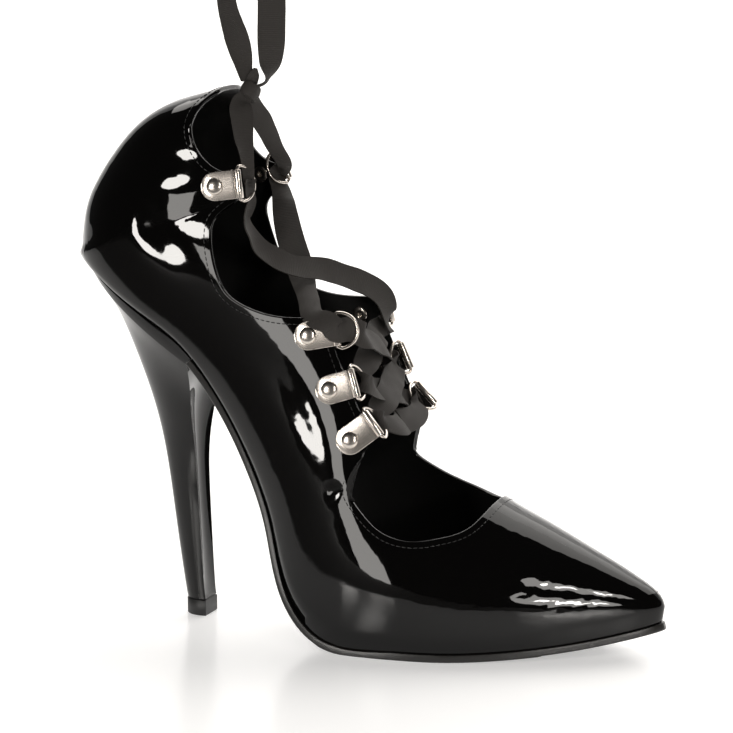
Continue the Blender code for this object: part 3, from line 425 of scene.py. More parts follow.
def feather_up(at: np.ndarray) -> np.ndarray:
    """Side view normal of the foot line, pointing into the shoe."""
    step = 0.001
    at = np.clip(np.asarray(at, float), LAST.seat_at + step, 1 - step)
    run = LAST.foot(at + step) - LAST.foot(at - step)
    run /= np.linalg.norm(run, axis=-1, keepdims=True)
    return np.stack([-run[..., 1], run[..., 0]], axis=-1)


def topline(side: float, density: int) -> tuple[np.ndarray, np.ndarray]:
    """Draws one side's topline in the side view.

    Args:
        side: -1 for the outer side, 1 for the inner one.
        density: Mesh columns for each one in the table.

    Returns:
        Its points, and the feather place below each.
    """
    rise_column = 1 if side < 0 else 2
    points, feather = [], []
    feather_from = LAST.seat_at
    last_piece = len(TOPLINE_PIECES) - 1
    for number, (_, columns, feather_to, rows) in enumerate(TOPLINE_PIECES):
        knots = LAST.place(np.array([row[0] for row in rows]), np.array([row[rise_column] for row in rows]))
        count = columns * density + 1
        top_start, foot_start = COLLAR_EASE if number == 0 else (1.0, 1.0)
        top_end, foot_end = THROAT_EASE if number == last_piece else (1.0, 1.0)
        piece = smooth_path(knots, eased(count, top_start, top_end))
        share = eased(count, foot_start, foot_end)
        skip = 0 if number == 0 else 1
        points.append(piece[skip:])
        feather.append((feather_from + share * (feather_to - feather_from))[skip:])
        feather_from = feather_to
    return np.concatenate(points), np.concatenate(feather)


def side_grid(side: float, rows: np.ndarray, density: int) -> tuple[np.ndarray, np.ndarray]:
    """Lays one side of the upper's skin, from the back's middle to the toe's.

    Args:
        side: -1 for the outer side, 1 for the inner one.
        rows: Shares of the way from the feather edge to the topline.
        density: Mesh columns for each one in the topline's table.

    Returns:
        Points by row and column, and each one's place on the last.
    """
    top, feather = topline(side, density)
    count = len(top)
    v = np.asarray(rows, float)[:, None, None]
    u = ((1 - np.cos(math.pi * np.linspace(0, 1, count))) / 2)[None, :, None]
    bottom = LAST.foot(feather)
    collar = TOPLINE_PIECES[0][3][0][0]
    left_at = LAST.seat_at + v[:, 0, 0] * (collar - LAST.seat_at)
    left = LAST.place(left_at, np.zeros(len(left_at)))
    left[0] = bottom[0]
    throat = TOPLINE_PIECES[-1][3][-1][0]
    right_at = 1 + v[:, 0, 0] ** 1.25 * (throat - 1)
    right = LAST.place(right_at, np.ones(len(right_at)))
    right[0] = bottom[-1]
    rails = (1 - v) * bottom[None] + v * top[None]
    ends = (1 - u) * left[:, None] + u * right[:, None]
    corners = (1 - u) * ((1 - v) * bottom[0] + v * top[0]) + u * ((1 - v) * bottom[-1] + v * top[-1])
    flat = rails + ends - corners
    at, rise = LAST.locate(flat.reshape(-1, 2))
    half = LAST.half_width(at, rise).reshape(flat.shape[:2])
    at = at.reshape(flat.shape[:2])
    at[0], half[0] = feather, LAST.feather(feather)
    half[:, 0] = 0
    half[:, -1] = 0
    y = LAST.centre(at) + side * half
    return np.stack([flat[..., 0], y, flat[..., 1]], axis=-1), at


class Outline:
    """The sole's plan, measured along the foot line from the seat back, set out or in by a margin."""

    station_count = 600

    def __init__(self, margin: float) -> None:
        """Offsets the feather edge.

        Args:
            margin: Metres outside the feather edge.
        """
        share = (1 - np.cos(np.linspace(0, math.pi, self.station_count))) / 2
        self.at = LAST.seat_at + share * (1 - LAST.seat_at)
        self.arc = chord_lengths(LAST.foot(self.at))
        half = LAST.feather(self.at)
        run = unit(np.stack([np.gradient(self.arc), np.gradient(half)], axis=-1))
        run[0], run[-1] = (0, 1), (0, -1)
        self.edge_arc = self.arc - margin * run[:, 1]
        self.edge_half = np.maximum(half + margin * run[:, 0], 0)
        self.start, self.end = self.edge_arc[0], self.edge_arc[-1]

    def half(self, arc: float) -> float:
        """Half-width of the plan at a length along the foot."""
        return float(np.interp(arc, self.edge_arc, self.edge_half))

    def point(self, arc: float, height: float) -> tuple[np.ndarray, float]:
        """Finds a side view point above the foot line.

        Args:
            arc: Length along the foot.
            height: Height above it.

        Returns:
            The point, and the middle line's sway there.
        """
        inside = float(np.clip(arc, 0, self.arc[-1]))
        at = np.interp(inside, self.arc, self.at)
        up = feather_up(at)
        forward = np.array([up[1], -up[0]])
        flat = LAST.foot(at) + (arc - inside) * forward + height * up
        return flat, float(LAST.centre(at))


def arc_of(at: float) -> float:
    """Length along the foot line from the seat back to a place on it."""
    outline = Outline(0)
    return float(np.interp(at, outline.at, outline.arc))


class Clip:
    """Axes and sizes of one clip on the upper."""

    barrel = RING_WIRE / 2 + GAP + CLIP_SHEET / 2
    leaf_step = CLIP_SHEET / 2 + GAP / 2
    search_at = 0.06
    search_rise = 0.2
    search_count = 41

    def __init__(self, row: Sequence, side_name: str, side: float) -> None:
        """Seats the clip on the leather.

        Args:
            row: The clip's row in the table.
            side_name: Name of its side.
            side: -1 for the outer side, 1 for the inner one.
        """
        self.name = f"{side_name}_{row[0]}"
        self.side = side
        at = row[1]
        rise, turn, tip = row[2] if side < 0 else row[3]
        self.point, self.out = LAST.frame(at, rise, side)
        turned = math.radians(turn)
        along = np.array([math.cos(turned), 0, math.sin(turned)])
        along -= np.dot(along, self.out) * self.out
        self.along = along / np.linalg.norm(along)
        self.across = np.cross(self.out, self.along)
        self.height = self.bulge(at, rise) + GAP + CLIP_SHEET / 2 + self.leaf_step
        self.edge = self.leather_edge() + GAP
        self.bar = self.edge + self.barrel + CLIP_SHEET / 2
        tipped = math.radians(tip)
        self.ring_way = math.cos(tipped) * self.along - math.sin(tipped) * self.out

    def bulge(self, at: float, rise: float) -> float:
        """Measures how far the skin under the plate stands above the rivet's own plane.

        Args:
            at: The rivet's place on the foot line.
            rise: Its share of the section's depth.

        Returns:
            Metres above the plane.
        """
        near_at = at + np.linspace(-self.search_at, self.search_at, self.search_count)
        near_rise = rise + np.linspace(-self.search_rise, self.search_rise, self.search_count)
        near_at, near_rise = np.meshgrid(near_at, near_rise)
        reach = LAST.surface(near_at, near_rise, self.side) - self.point
        along, across, out = (reach @ axis for axis in (self.along, self.across, self.out))
        under = (np.abs(across) < CLIP_HALF_WIDTH) & (along > -CLIP_TAIL) & (along < CLIP_TAIL)
        return max(float(out[under].max()), 0.0)

    def leather_edge(self) -> float:
        """How far ahead of the rivet the leather reaches under the clip."""
        rim_at, rim_rise = LAST.locate(topline(self.side, 6)[0])
        reach = LAST.surface(rim_at, rim_rise, self.side) - self.point
        along, across = reach @ self.along, reach @ self.across
        ahead = (np.abs(across) < RING_REACH + GAP) & (along > 0) & (along < 3 * CLIP_TAIL)
        return float(along[ahead].max())

    def at(self, along: float, across: float, out: float) -> np.ndarray:
        """World point at a place on the clip's own axes."""
        return self.point + along * self.along + across * self.across + out * self.out

    def bar_centre(self) -> np.ndarray:
        """Middle of the ring's straight bar."""
        return self.at(self.bar, 0, self.height)

    def anchor(self, level: int) -> np.ndarray:
        """Where a ribbon passes the ring's bow: level 1 above its middle, -1 below it."""
        shift = level * RIBBON_APART / 2
        bow = RING_DEPTH * (1 - (shift / RING_REACH) ** 2) ** (RING_SQUARENESS / 2)
        return self.bar_centre() - shift * self.side * self.across + bow * self.ring_way


# Ribbon
RIBBON_WIDTH = 0.010
RIBBON_SHEET = 0.0005
RIBBON_ARCH = 0.35          # share of the half-width by which a gathered ribbon's edges curl back
KNOT_PLACE = (0.0205, 0.0, 0.1935)
KNOT_SIZE = (0.0062, 0.0078, 0.0074)
EAR_ROUTE = ((0.0213, 0.0000, 0.1963), (0.0225, -0.0010, 0.1993), (0.0235, -0.0015, 0.2020))
FORWARD = (0.80, 0.0, 0.60)
CROSSING_FACE = (0.76, -0.15, 0.62)
CROSSING = ((0.25, 0.0006), (0.5, 0.0010), (0.75, 0.0006))  # share of the way across, metres to the front
OVER = (0.35, -0.92, 0.17)  # towards the photograph's camera
OVERLAP = 0.0007            # how far each of two crossing strands stands off the other

# How the ribbon passes a ring, from below. up: share of the ring's half-width, negative below its
# middle; out: 0 at the bar, 1 at the bow; lift: metres in front of the ring's plane; turn: degrees of the
# ribbon's face from the ring's front to its bar; width: share of the ribbon's.
WRAP = ((-0.30, 1.04, 0.0011, 0.0, 0.74), (0.0, 0.86, 0.0, 90.0, 0.70), (0.30, 1.04, -0.0011, 180.0, 0.74))
PASSES = {
    "inner_instep_1": ((-0.80, 1.00, -0.0011, 180.0, 0.80), (-0.72, 0.84, 0.0, 90.0, 0.75),
                       (-0.55, 1.04, 0.0016, 0.0, 0.90)),
    "outer_instep_1": ((-0.30, 1.06, -0.0012, 0.0, 0.85), (0.0, 0.55, 0.0002, 0.0, 0.85),
                       (0.10, 0.0, 0.0026, 0.0, 0.85)),
    "outer_ankle": ((-0.98, 0.80, -0.0011, 0.0, 0.45), (-0.50, 0.60, 0.0, 0.0, 0.45),
                    (0.20, 0.60, 0.0012, 0.0, 0.50)),
    "inner_ankle": ((-0.95, 0.55, -0.0011, 0.0, 0.75), (-0.30, 0.50, -0.0012, 0.0, 0.60)),
}

# Runs of the ribbon after the named ring, from below. x, y, z; face; width.
RUNS = {
    "inner_instep_1": (
        (0.0664, 0.0175, 0.1157, 0.85, -0.30, 0.40, 1.0), (0.0648, 0.0175, 0.1192, 0.75, -0.42, 0.50, 1.0),
        (0.0598, 0.0150, 0.1237, 0.75, -0.42, 0.50, 1.0), (0.0532, 0.0100, 0.1272, 0.60, -0.55, 0.60, 0.95),
        (0.0463, 0.0040, 0.1303, 0.50, -0.60, 0.60, 0.95), (0.0395, -0.0040, 0.1320, 0.50, -0.55, 0.65, 0.90),
        (0.0335, -0.0090, 0.1356, 0.70, -0.50, 0.50, 0.85), (0.0291, -0.0130, 0.1399, 0.85, -0.30, 0.40, 0.80),
        (0.0271, -0.0165, 0.1455, 0.95, 0.00, 0.30, 0.72), (0.0266, -0.0190, 0.1504, 1.00, 0.15, 0.10, 0.60)),
    "outer_instep_1": (
        (0.0631, -0.0298, 0.1165, 0.15, -0.90, 0.35, 0.80), (0.0576, -0.0286, 0.1182, 0.10, -0.80, 0.55, 0.78),
        (0.0514, -0.0205, 0.1217, 0.10, -0.69, 0.72, 0.75), (0.0454, -0.0090, 0.1247, 0.20, -0.70, 0.65, 0.75),
        (0.0402, 0.0000, 0.1286, 0.30, -0.75, 0.50, 0.92), (0.0362, 0.0050, 0.1338, 0.35, -0.80, 0.40, 1.0),
        (0.0323, 0.0090, 0.1397, 0.40, -0.80, 0.30, 1.0), (0.0291, 0.0125, 0.1464, 0.40, -0.80, 0.30, 0.95),
        (0.0260, 0.0172, 0.1529, 0.40, -0.80, 0.30, 0.82)),
    "outer_ankle": (
        (0.0286, -0.0200, 0.1630, 0.70, -0.60, 0.0, 0.34), (0.0275, -0.0190, 0.1692, 0.60, -0.75, 0.0, 0.46),
        (0.0240, -0.0140, 0.1779, 0.50, -0.85, 0.0, 0.68), (0.0206, -0.0080, 0.1867, 0.40, -0.90, 0.0, 0.84),
        (0.0190, -0.0035, 0.1905, 0.40, -0.90, 0.0, 0.66), (0.0205, -0.0015, 0.1925, 0.50, -0.80, 0.0, 0.40)),
    "inner_ankle": (
        (0.0256, 0.0200, 0.1643, 0.75, -0.66, 0.0, 0.55), (0.0240, 0.0180, 0.1700, 0.75, -0.66, 0.0, 0.58),
        (0.0226, 0.0140, 0.1761, 0.75, -0.66, 0.0, 0.70), (0.0212, 0.0090, 0.1828, 0.75, -0.66, 0.0, 0.80),
        (0.0200, 0.0045, 0.1885, 0.75, -0.66, 0.0, 0.66), (0.0205, 0.0015, 0.1920, 0.75, -0.66, 0.0, 0.40)),
}

RIBS_PER_METRE = 1500.0
WAVES_PER_UNIT = 3.1831     # Blender's band texture repeats this often per unit at scale 1

# Creases pressed in. side: -1 outer, 1 inner; at, rise: middle of the crease on the last;
# slope: degrees up from +X in the side view; length; before and after: width of its lower or hinder
# flank and of the other one; height: metres, negative for a trough.
CREASES = (
    (-1, 0.512, 0.42, -62.0, 0.060, 0.0030, 0.0050, -0.00016),
    (-1, 0.612, 0.47, 40.0, 0.010, 0.0020, 0.0020, -0.00030),
    (-1, 0.235, 0.30, -70.0, 0.040, 0.0045, 0.0045, 0.00018),
    (-1, 0.270, 0.38, -64.0, 0.036, 0.0050, 0.0050, -0.00018),
    (-1, 0.170, 0.34, -58.0, 0.026, 0.0050, 0.0050, 0.00016),
    (1, 0.515, 0.42, -62.0, 0.060, 0.0040, 0.0140, -0.00060),
    (1, 0.240, 0.32, -70.0, 0.038, 0.0050, 0.0050, 0.00018),
    (1, 0.280, 0.36, -60.0, 0.030, 0.0055, 0.0055, -0.00018),
)
STITCH_INSET = 0.0021
STITCH_PITCH = 0.0020
STITCH_LENGTH = 0.0015
STITCH_RADIUS = 0.00019

CAMERA_PLACE = (0.4351, -0.9642, 0.2864)
CAMERA_TARGET = (0.0650, 0.0, 0.0968)
CAMERA_LENS = 144.39
TABLE_EDGE = -0.176         # where the white sheet under the shoe ends, towards the camera
EDGE_FADE = 0.018           # half of the way over which it darkens
SHEET_GLOW = 0.42
WORLD_GLOW = 0.035
SKY_GLOW = 3.0
SKY_PLACE = (0.1, 1.3, 1.6)
SKY_TARGET = (0.1, 1.25, 0.0)
SKY_SIZE = (3.0, 1.8)

# Lamps. aim: the spot on the shoe that mirrors the lamp; turn and tilt: degrees from -Y towards +X, and
# up, as seen from there; size: width and height in metres; glow: radiance; round: disc or rectangle.
LAMP_DISTANCE = 1.0
LAMPS = (
    ("left_umbrella", (0.00, -0.03, 0.14), -25.0, -2.5, (0.11, 0.11), 34.0, True),
    ("ankle_umbrella", (0.01, -0.03, 0.16), -17.5, 10.5, (0.15, 0.15), 34.0, True),
    ("left_panel", (0.045, -0.03, 0.11), -15.2, 0.0, (0.155, 0.22), 9.0, False),
    ("toe_umbrella", (0.145, -0.018, 0.024), 39.0, 10.0, (0.22, 0.22), 9.0, True),
    ("toe_core", (0.145, -0.018, 0.024), 39.0, 10.4, (0.06, 0.06), 60.0, True),
    ("high_umbrella", (0.145, -0.018, 0.024), 47.0, 32.0, (0.20, 0.20), 9.0, True),
    ("high_core", (0.145, -0.018, 0.024), 47.0, 32.4, (0.06, 0.06), 60.0, True),
)


class Finish(Enum):
    """Materials of the shoe and of the sheet it stands on."""

    PATENT = "patent"
    LINING = "lining"
    SOLE = "sole"
    LIFT = "lift"
    NICKEL = "nickel"
    RIBBON = "ribbon"
    THREAD = "thread"


@dataclass(frozen=True)
class Look:
    """Shader numbers of one finish."""

    colour: tuple[float, float, float]
    roughness: float
    metallic: float = 0.0
    coat: float = 0.0
    specular: float = 0.5
    noise_scale: float = 60.0
    bump: float = 0.2
    bump_distance: float = 0.0002
    mottle: float = 0.1


LOOKS = {
    Finish.PATENT: Look((0.0016, 0.0014, 0.0013), 0.30, coat=1.0, specular=0.0, noise_scale=55.0,
                        bump=0.06, bump_distance=0.0012, mottle=0.03),
    Finish.LINING: Look((0.0040, 0.0036, 0.0034), 0.62, specular=0.3, noise_scale=900.0, bump=0.25),
    Finish.SOLE: Look((0.012, 0.011, 0.010), 0.32, noise_scale=420.0, bump_distance=0.0003, mottle=0.12),
    Finish.LIFT: Look((0.008, 0.008, 0.008), 0.48, noise_scale=700.0),
    Finish.NICKEL: Look((0.72, 0.66, 0.60), 0.25, metallic=1.0, noise_scale=300.0, bump=0.04, mottle=0.06),
    Finish.RIBBON: Look((0.044, 0.040, 0.037), 0.72, specular=0.25, noise_scale=1500.0, bump=0.3,
                        mottle=0.18),
    Finish.THREAD: Look((0.010, 0.010, 0.010), 0.40, noise_scale=2600.0, bump=0.3, bump_distance=0.0001),
}


@dataclass
class MaterialShop:
    """Makes each finish once."""

    made: dict = field(default_factory=dict)

    def get(self, finish: Finish) -> bpy.types.Material:
        """Gives the material of a finish, made on first use.

        Args:
            finish: Which finish.

        Returns:
            Its material.
        """
        if finish not in self.made:
            self.made[finish] = self.make(finish)
            LOG.info("material %s", finish.value)
        return self.made[finish]

    def make(self, finish: Finish) -> bpy.types.Material:
        """Builds a finish's node tree.

        Args:
            finish: Which finish.

        Returns:
            The new material.
        """
        look = LOOKS[finish]
        material = bpy.data.materials.new(f"look_{finish.value}")
        material.use_nodes = True
        nodes, links = material.node_tree.nodes, material.node_tree.links
        shader = nodes["Principled BSDF"]
        shader.inputs["Metallic"].default_value = look.metallic
        shader.inputs["Specular IOR Level"].default_value = look.specular
        shader.inputs["Coat Weight"].default_value = look.coat
        shader.inputs["Coat Roughness"].default_value = 0.03
        shader.inputs["Coat IOR"].default_value = 1.38
        noise = self.noise(nodes, links, look.noise_scale)
        ramp = nodes.new("ShaderNodeMapRange")
        ramp.inputs["To Min"].default_value = 1.0 - look.mottle
        ramp.inputs["To Max"].default_value = 1.0 + look.mottle
        links.new(noise, ramp.inputs["Value"])
        tint = nodes.new("ShaderNodeMix")
        tint.data_type = "RGBA"
        tint.blend_type = "MULTIPLY"
        tint.inputs["Factor"].default_value = 1.0
        tint.inputs["A"].default_value = (*look.colour, 1.0)
        links.new(ramp.outputs["Result"], tint.inputs["B"])
        links.new(tint.outputs["Result"], shader.inputs["Base Color"])
        rough = nodes.new("ShaderNodeMath")
        rough.operation = "MULTIPLY"
        rough.inputs[1].default_value = look.roughness
        links.new(ramp.outputs["Result"], rough.inputs[0])
        links.new(rough.outputs["Value"], shader.inputs["Roughness"])
        bump = nodes.new("ShaderNodeBump")
        bump.inputs["Strength"].default_value = look.bump
        bump.inputs["Distance"].default_value = look.bump_distance
        height = self.ribs(nodes, links, noise) if finish is Finish.RIBBON else noise
        links.new(height, bump.inputs["Height"])
        links.new(bump.outputs["Normal"], shader.inputs["Normal"])
        links.new(bump.outputs["Normal"], shader.inputs["Coat Normal"])
        return material

    @staticmethod
    def noise(nodes: bpy.types.Nodes, links: bpy.types.NodeLinks, scale: float) -> bpy.types.NodeSocket:
        """Adds a noise texture on object coordinates.

        Args:
            nodes: The tree's nodes.
            links: The tree's links.
            scale: Grains per metre.

        Returns:
            The noise's value.
        """
        place = nodes.new("ShaderNodeTexCoord")
        noise = nodes.new("ShaderNodeTexNoise")
        noise.inputs["Scale"].default_value = scale
        noise.inputs["Detail"].default_value = 3.0
        links.new(place.outputs["Object"], noise.inputs["Vector"])
        return noise.outputs["Fac"]

    @staticmethod
    def ribs(nodes: bpy.types.Nodes, links: bpy.types.NodeLinks,
             noise: bpy.types.NodeSocket) -> bpy.types.NodeSocket:
        """Adds ribs across the ribbon, from its own UVs, with a little noise.

        Args:
            nodes: The tree's nodes.
            links: The tree's links.
            noise: Value of the noise to mix in.

        Returns:
            Height of the weave.
        """
        uv = nodes.new("ShaderNodeUVMap")
        uv.uv_map = "weave"
        wave = nodes.new("ShaderNodeTexWave")
        wave.inputs["Scale"].default_value = 1.0
        links.new(uv.outputs["UV"], wave.inputs["Vector"])
        add = nodes.new("ShaderNodeMath")
        add.operation = "MULTIPLY_ADD"
        add.inputs[1].default_value = 0.5
        links.new(noise, add.inputs[0])
        links.new(wave.outputs["Fac"], add.inputs[2])
        return add.outputs["Value"]


SHOP = MaterialShop()


def new_piece(name: str, fill: Callable[[bmesh.types.BMesh], None], finishes: Sequence[Finish],
              replaces: Sequence[str] = (), sharp: float = 40.0) -> bpy.types.Object:
    """Makes a piece of the shoe that rides on the body and stands for its CAD nodes.

    Args:
        name: The piece's name.
        fill: Adds the piece's faces to a mesh under construction.
        finishes: Its materials, in slot order.
        replaces: CAD nodes that it takes the place of.
        sharp: Edges that turn by more degrees than this stay sharp.

    Returns:
        The new object.
    """
    mesh = bpy.data.meshes.new(name)
    shape = bmesh.new()
    fill(shape)
    bmesh.ops.remove_doubles(shape, verts=shape.verts, dist=1e-7)
    bmesh.ops.recalc_face_normals(shape, faces=shape.faces)
    shape.to_mesh(mesh)
    shape.free()
    thing = bpy.data.objects.new(name, mesh)
    bpy.context.scene.collection.objects.link(thing)
    for finish in finishes:
        mesh.materials.append(SHOP.get(finish))
    mesh.shade_smooth()
    mesh.set_sharp_from_angle(angle=math.radians(sharp))
    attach(thing, "root")
    if replaces:
        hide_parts(*replaces)
    LOG.info("piece %s: %d faces", name, len(mesh.polygons))
    return thing


def add_rings(shape: bmesh.types.BMesh, rings: Sequence, closed: bool = False) -> list:
    """Bridges rings of equal length with quads and caps an open row of them.

    Args:
        shape: Mesh under construction.
        rings: Points of each ring.
        closed: Joins the last ring to the first instead of capping both.

    Returns:
        The vertices, ring by ring.
    """
    rows = [[shape.verts.new(point) for point in ring] for ring in rings]
    pairs = list(zip(rows[:-1], rows[1:]))
    if closed:
        pairs.append((rows[-1], rows[0]))
    for low, high in pairs:
        for j in range(len(low)):
            k = (j + 1) % len(low)
            shape.faces.new((low[j], low[k], high[k], high[j]))
    if not closed:
        shape.faces.new(rows[0][::-1])
        shape.faces.new(rows[-1])
    return rows


def ring_piece(name: str, rings: Sequence, finish: Finish, node: str, sharp: float,
               closed: bool = False) -> None:
    """Makes a piece of one finish from rings.

    Args:
        name: The piece's name.
        rings: Points of each ring.
        finish: Its material.
        node: CAD node that it takes the place of.
        sharp: Edges that turn by more degrees than this stay sharp.
        closed: Joins the last ring to the first.
    """
    new_piece(name, lambda shape: add_rings(shape, rings, closed), (finish,), (node,), sharp)


def crease_lift(points: np.ndarray, side: np.ndarray) -> np.ndarray:
    """Works out how far the creases lift the skin.

    Args:
        points: Side view points of the skin.
        side: Side of the shoe at each of them.

    Returns:
        Lift at each point, in metres.
    """
    lift = np.zeros(points.shape[:-1])
    for crease_side, at, rise, slope, length, before, after, height in CREASES:
        reach = points - LAST.place(np.array(at), np.array(rise))
        turn = math.radians(slope)
        along = reach[..., 0] * math.cos(turn) + reach[..., 1] * math.sin(turn)
        across = reach[..., 1] * math.cos(turn) - reach[..., 0] * math.sin(turn)
        falloff = np.clip(1 - (2 * along / length) ** 2, 0, 1) ** 2
        flank = np.where(across < 0, before, after)
        lift += height * falloff * np.exp(-(across / flank) ** 2) * (side == crease_side)
    return lift


@dataclass
class UpperPieces:
    """The patent upper with its lining, rolled edge, creases and topline stitches."""

    density: int = 4
    row_count: int = 49
    skin: np.ndarray = None
    normal: np.ndarray = None

    def build(self) -> None:
        """Makes the upper and its stitches."""
        self.shape_skin()
        inner = self.skin - WALL * self.normal
        rings = [*self.skin, *self.edge_rings(), *inner[::-1]]
        outside = len(self.skin) + 4

        def fill(shape: bmesh.types.BMesh) -> None:
            add_rings(shape, rings, closed=True)
            for number, face in enumerate(shape.faces):
                face.material_index = int(number // self.skin.shape[1] >= outside)

        new_piece("upper_skin", fill, (Finish.PATENT, Finish.LINING), ("upper",), sharp=60.0)
        self.stitches()

    def shape_skin(self) -> None:
        """Lays the outer skin over the last, with its normals, and presses the creases in."""
        share = np.linspace(0, 1, self.row_count)
        rows = 1 - (1 - share) ** 1.25
        outer, outer_at = side_grid(-1.0, rows, self.density)
        inner = side_grid(1.0, rows, self.density)[0][:, -2:0:-1]
        skin = np.concatenate([outer, inner], axis=1)
        side = np.concatenate([np.full(outer.shape[:2], -1.0), np.full(inner.shape[:2], 1.0)], axis=1)
        at = np.concatenate([outer_at[0], outer_at[0][-2:0:-1]])
        around = np.roll(skin, -1, axis=1) - np.roll(skin, 1, axis=1)
        normal = unit(np.cross(around, np.gradient(skin, axis=0)))
        up = feather_up(at)
        up = np.stack([up[:, 0], np.zeros(len(up)), up[:, 1]], axis=-1)
        normal[0] = unit(normal[0] - np.einsum("ij,ij->i", normal[0], up)[:, None] * up)
        lift = crease_lift(skin[..., (0, 2)], side)
        lift[0] = 0
        self.skin = skin + lift[..., None] * normal
        self.normal = normal

    def edge_rings(self) -> list:
        """Rounds the topline's edge over.

        Returns:
            Half-round rings from the outer skin to the lining.
        """
        normal = self.normal[-1]
        upward = self.skin[-1] - self.skin[-2]
        upward = unit(upward - np.einsum("ij,ij->i", upward, normal)[:, None] * normal)
        middle = self.skin[-1] - normal * WALL / 2
        turns = np.radians([20, 50, 90, 130, 160])
        return [middle + WALL / 2 * (math.cos(turn) * normal + EDGE_CROWN * math.sin(turn) * upward)
                for turn in turns]

    def stitch_line(self) -> tuple[np.ndarray, np.ndarray]:
        """Finds the line that runs a stitch inset below the topline.

        Returns:
            Its points and the skin's normals there.
        """
        top = self.skin[-1]
        flat = self.skin.reshape(-1, 3)
        distance = np.full(len(flat), np.inf)
        for start, step in zip(top, np.roll(top, -1, axis=0) - top):
            reach = flat - start
            share = np.clip(reach @ step / max(step @ step, 1e-12), 0, 1)
            distance = np.minimum(distance, np.linalg.norm(reach - share[:, None] * step, axis=1))
        distance = distance.reshape(self.skin.shape[:2])
        line, facing = [], []
        for j in range(distance.shape[1]):
            below = np.nonzero(distance[::-1, j] > STITCH_INSET)[0]
            low = distance.shape[0] - 1 - int(below[0])
            part = (distance[low, j] - STITCH_INSET) / (distance[low, j] - distance[low + 1, j])
            line.append((1 - part) * self.skin[low, j] + part * self.skin[low + 1, j])
            facing.append(self.normal[low, j])
        return np.array(line + line[:1]), np.array(facing + facing[:1])

    def stitches(self) -> None:
        """Sews a thread of short stitches all round the topline."""
        line, facing = self.stitch_line()
        chord = chord_lengths(line)
        count = int(chord[-1] / STITCH_PITCH)

        def sample(values: np.ndarray, at: float) -> np.ndarray:
            return np.array([np.interp(at % chord[-1], chord, axis) for axis in values.T])

        def fill(shape: bmesh.types.BMesh) -> None:
            for middle in (np.arange(count) + 0.5) * chord[-1] / count:
                start = sample(line, middle - STITCH_LENGTH / 2)
                end = sample(line, middle + STITCH_LENGTH / 2)
                out = unit(sample(facing, middle))
                side = np.cross(out, unit(end - start))
                rings = []
                for share, swell in ((0.0, 0.35), (0.15, 0.85), (0.5, 1.0), (0.85, 0.85), (1.0, 0.35)):
                    centre = start + share * (end - start) + out * STITCH_RADIUS * 0.3 * swell
                    turns = np.linspace(0, 2 * math.pi, 7)[:-1]
                    rings.append([centre + swell * STITCH_RADIUS * (math.cos(a) * side + math.sin(a) * out)
                                  for a in turns])
                add_rings(shape, rings)

        new_piece("topline_stitches", fill, (Finish.THREAD,))


@dataclass
class SolePieces:
    """Outsole and insole, as layers of the sole's outline."""

    stations: int = 150

    def build(self) -> None:
        """Makes both layers."""
        outline = Outline(SOLE_MARGIN)
        start = arc_of(BREAST_AT) + GAP
        arcs = start + eased(self.stations, 1.0, 2.0) * (outline.end - TOE_BLUNT / 2 - start)
        layer = self.layer(outline, arcs, -GAP - SOLE, -GAP, 0.0007)
        tread = [[(x, y, max(z - TREAD_FLAT, 0.0)) if z < SOLE else (x, y, z) for x, y, z in ring]
                 for ring in layer]
        ring_piece("outsole_skin", tread, Finish.SOLE, "outsole", sharp=50.0)
        outline = Outline(-WALL - 2 * GAP)
        run = outline.end - outline.start - 2 * TOE_BLUNT
        arcs = outline.start + TOE_BLUNT + eased(self.stations, 2.0, 2.0) * run
        sock = self.layer(outline, arcs, 0.0, INSOLE, 0.0004)
        ring_piece("insole_sock", sock, Finish.LINING, "insole", sharp=50.0)

    @staticmethod
    def layer(outline: Outline, arcs: np.ndarray, low: float, high: float, round_edge: float) -> list:
        """Cuts a layer across, with its lower and upper edges rounded.

        Args:
            outline: Plan of the layer.
            arcs: Lengths along the foot line of its stations.
            low: Height of its underside over the foot line.
            high: Height of its top.
            round_edge: Radius of the lower edge.

        Returns:
            A ring of points at each station.
        """
        soft = round_edge / 3
        rings = []
        for arc in arcs:
            half = max(float(outline.half(arc)), round_edge + LAYER_POINT)
            corner = []
            for turn in np.linspace(0, math.pi / 2, 5):
                corner.append((half - round_edge * (1 - math.sin(turn)),
                               low + round_edge * (1 - math.cos(turn))))
            for turn in np.linspace(0, math.pi / 2, 3):
                corner.append((half - soft * (1 - math.cos(turn)), high - soft * (1 - math.sin(turn))))
            ring = []
            for side, points in ((1, corner), (-1, corner[::-1])):
                for y, height in points:
                    flat, centre = outline.point(arc, height)
                    ring.append((flat[0], centre + side * y, flat[1]))
            rings.append(ring)
        return rings


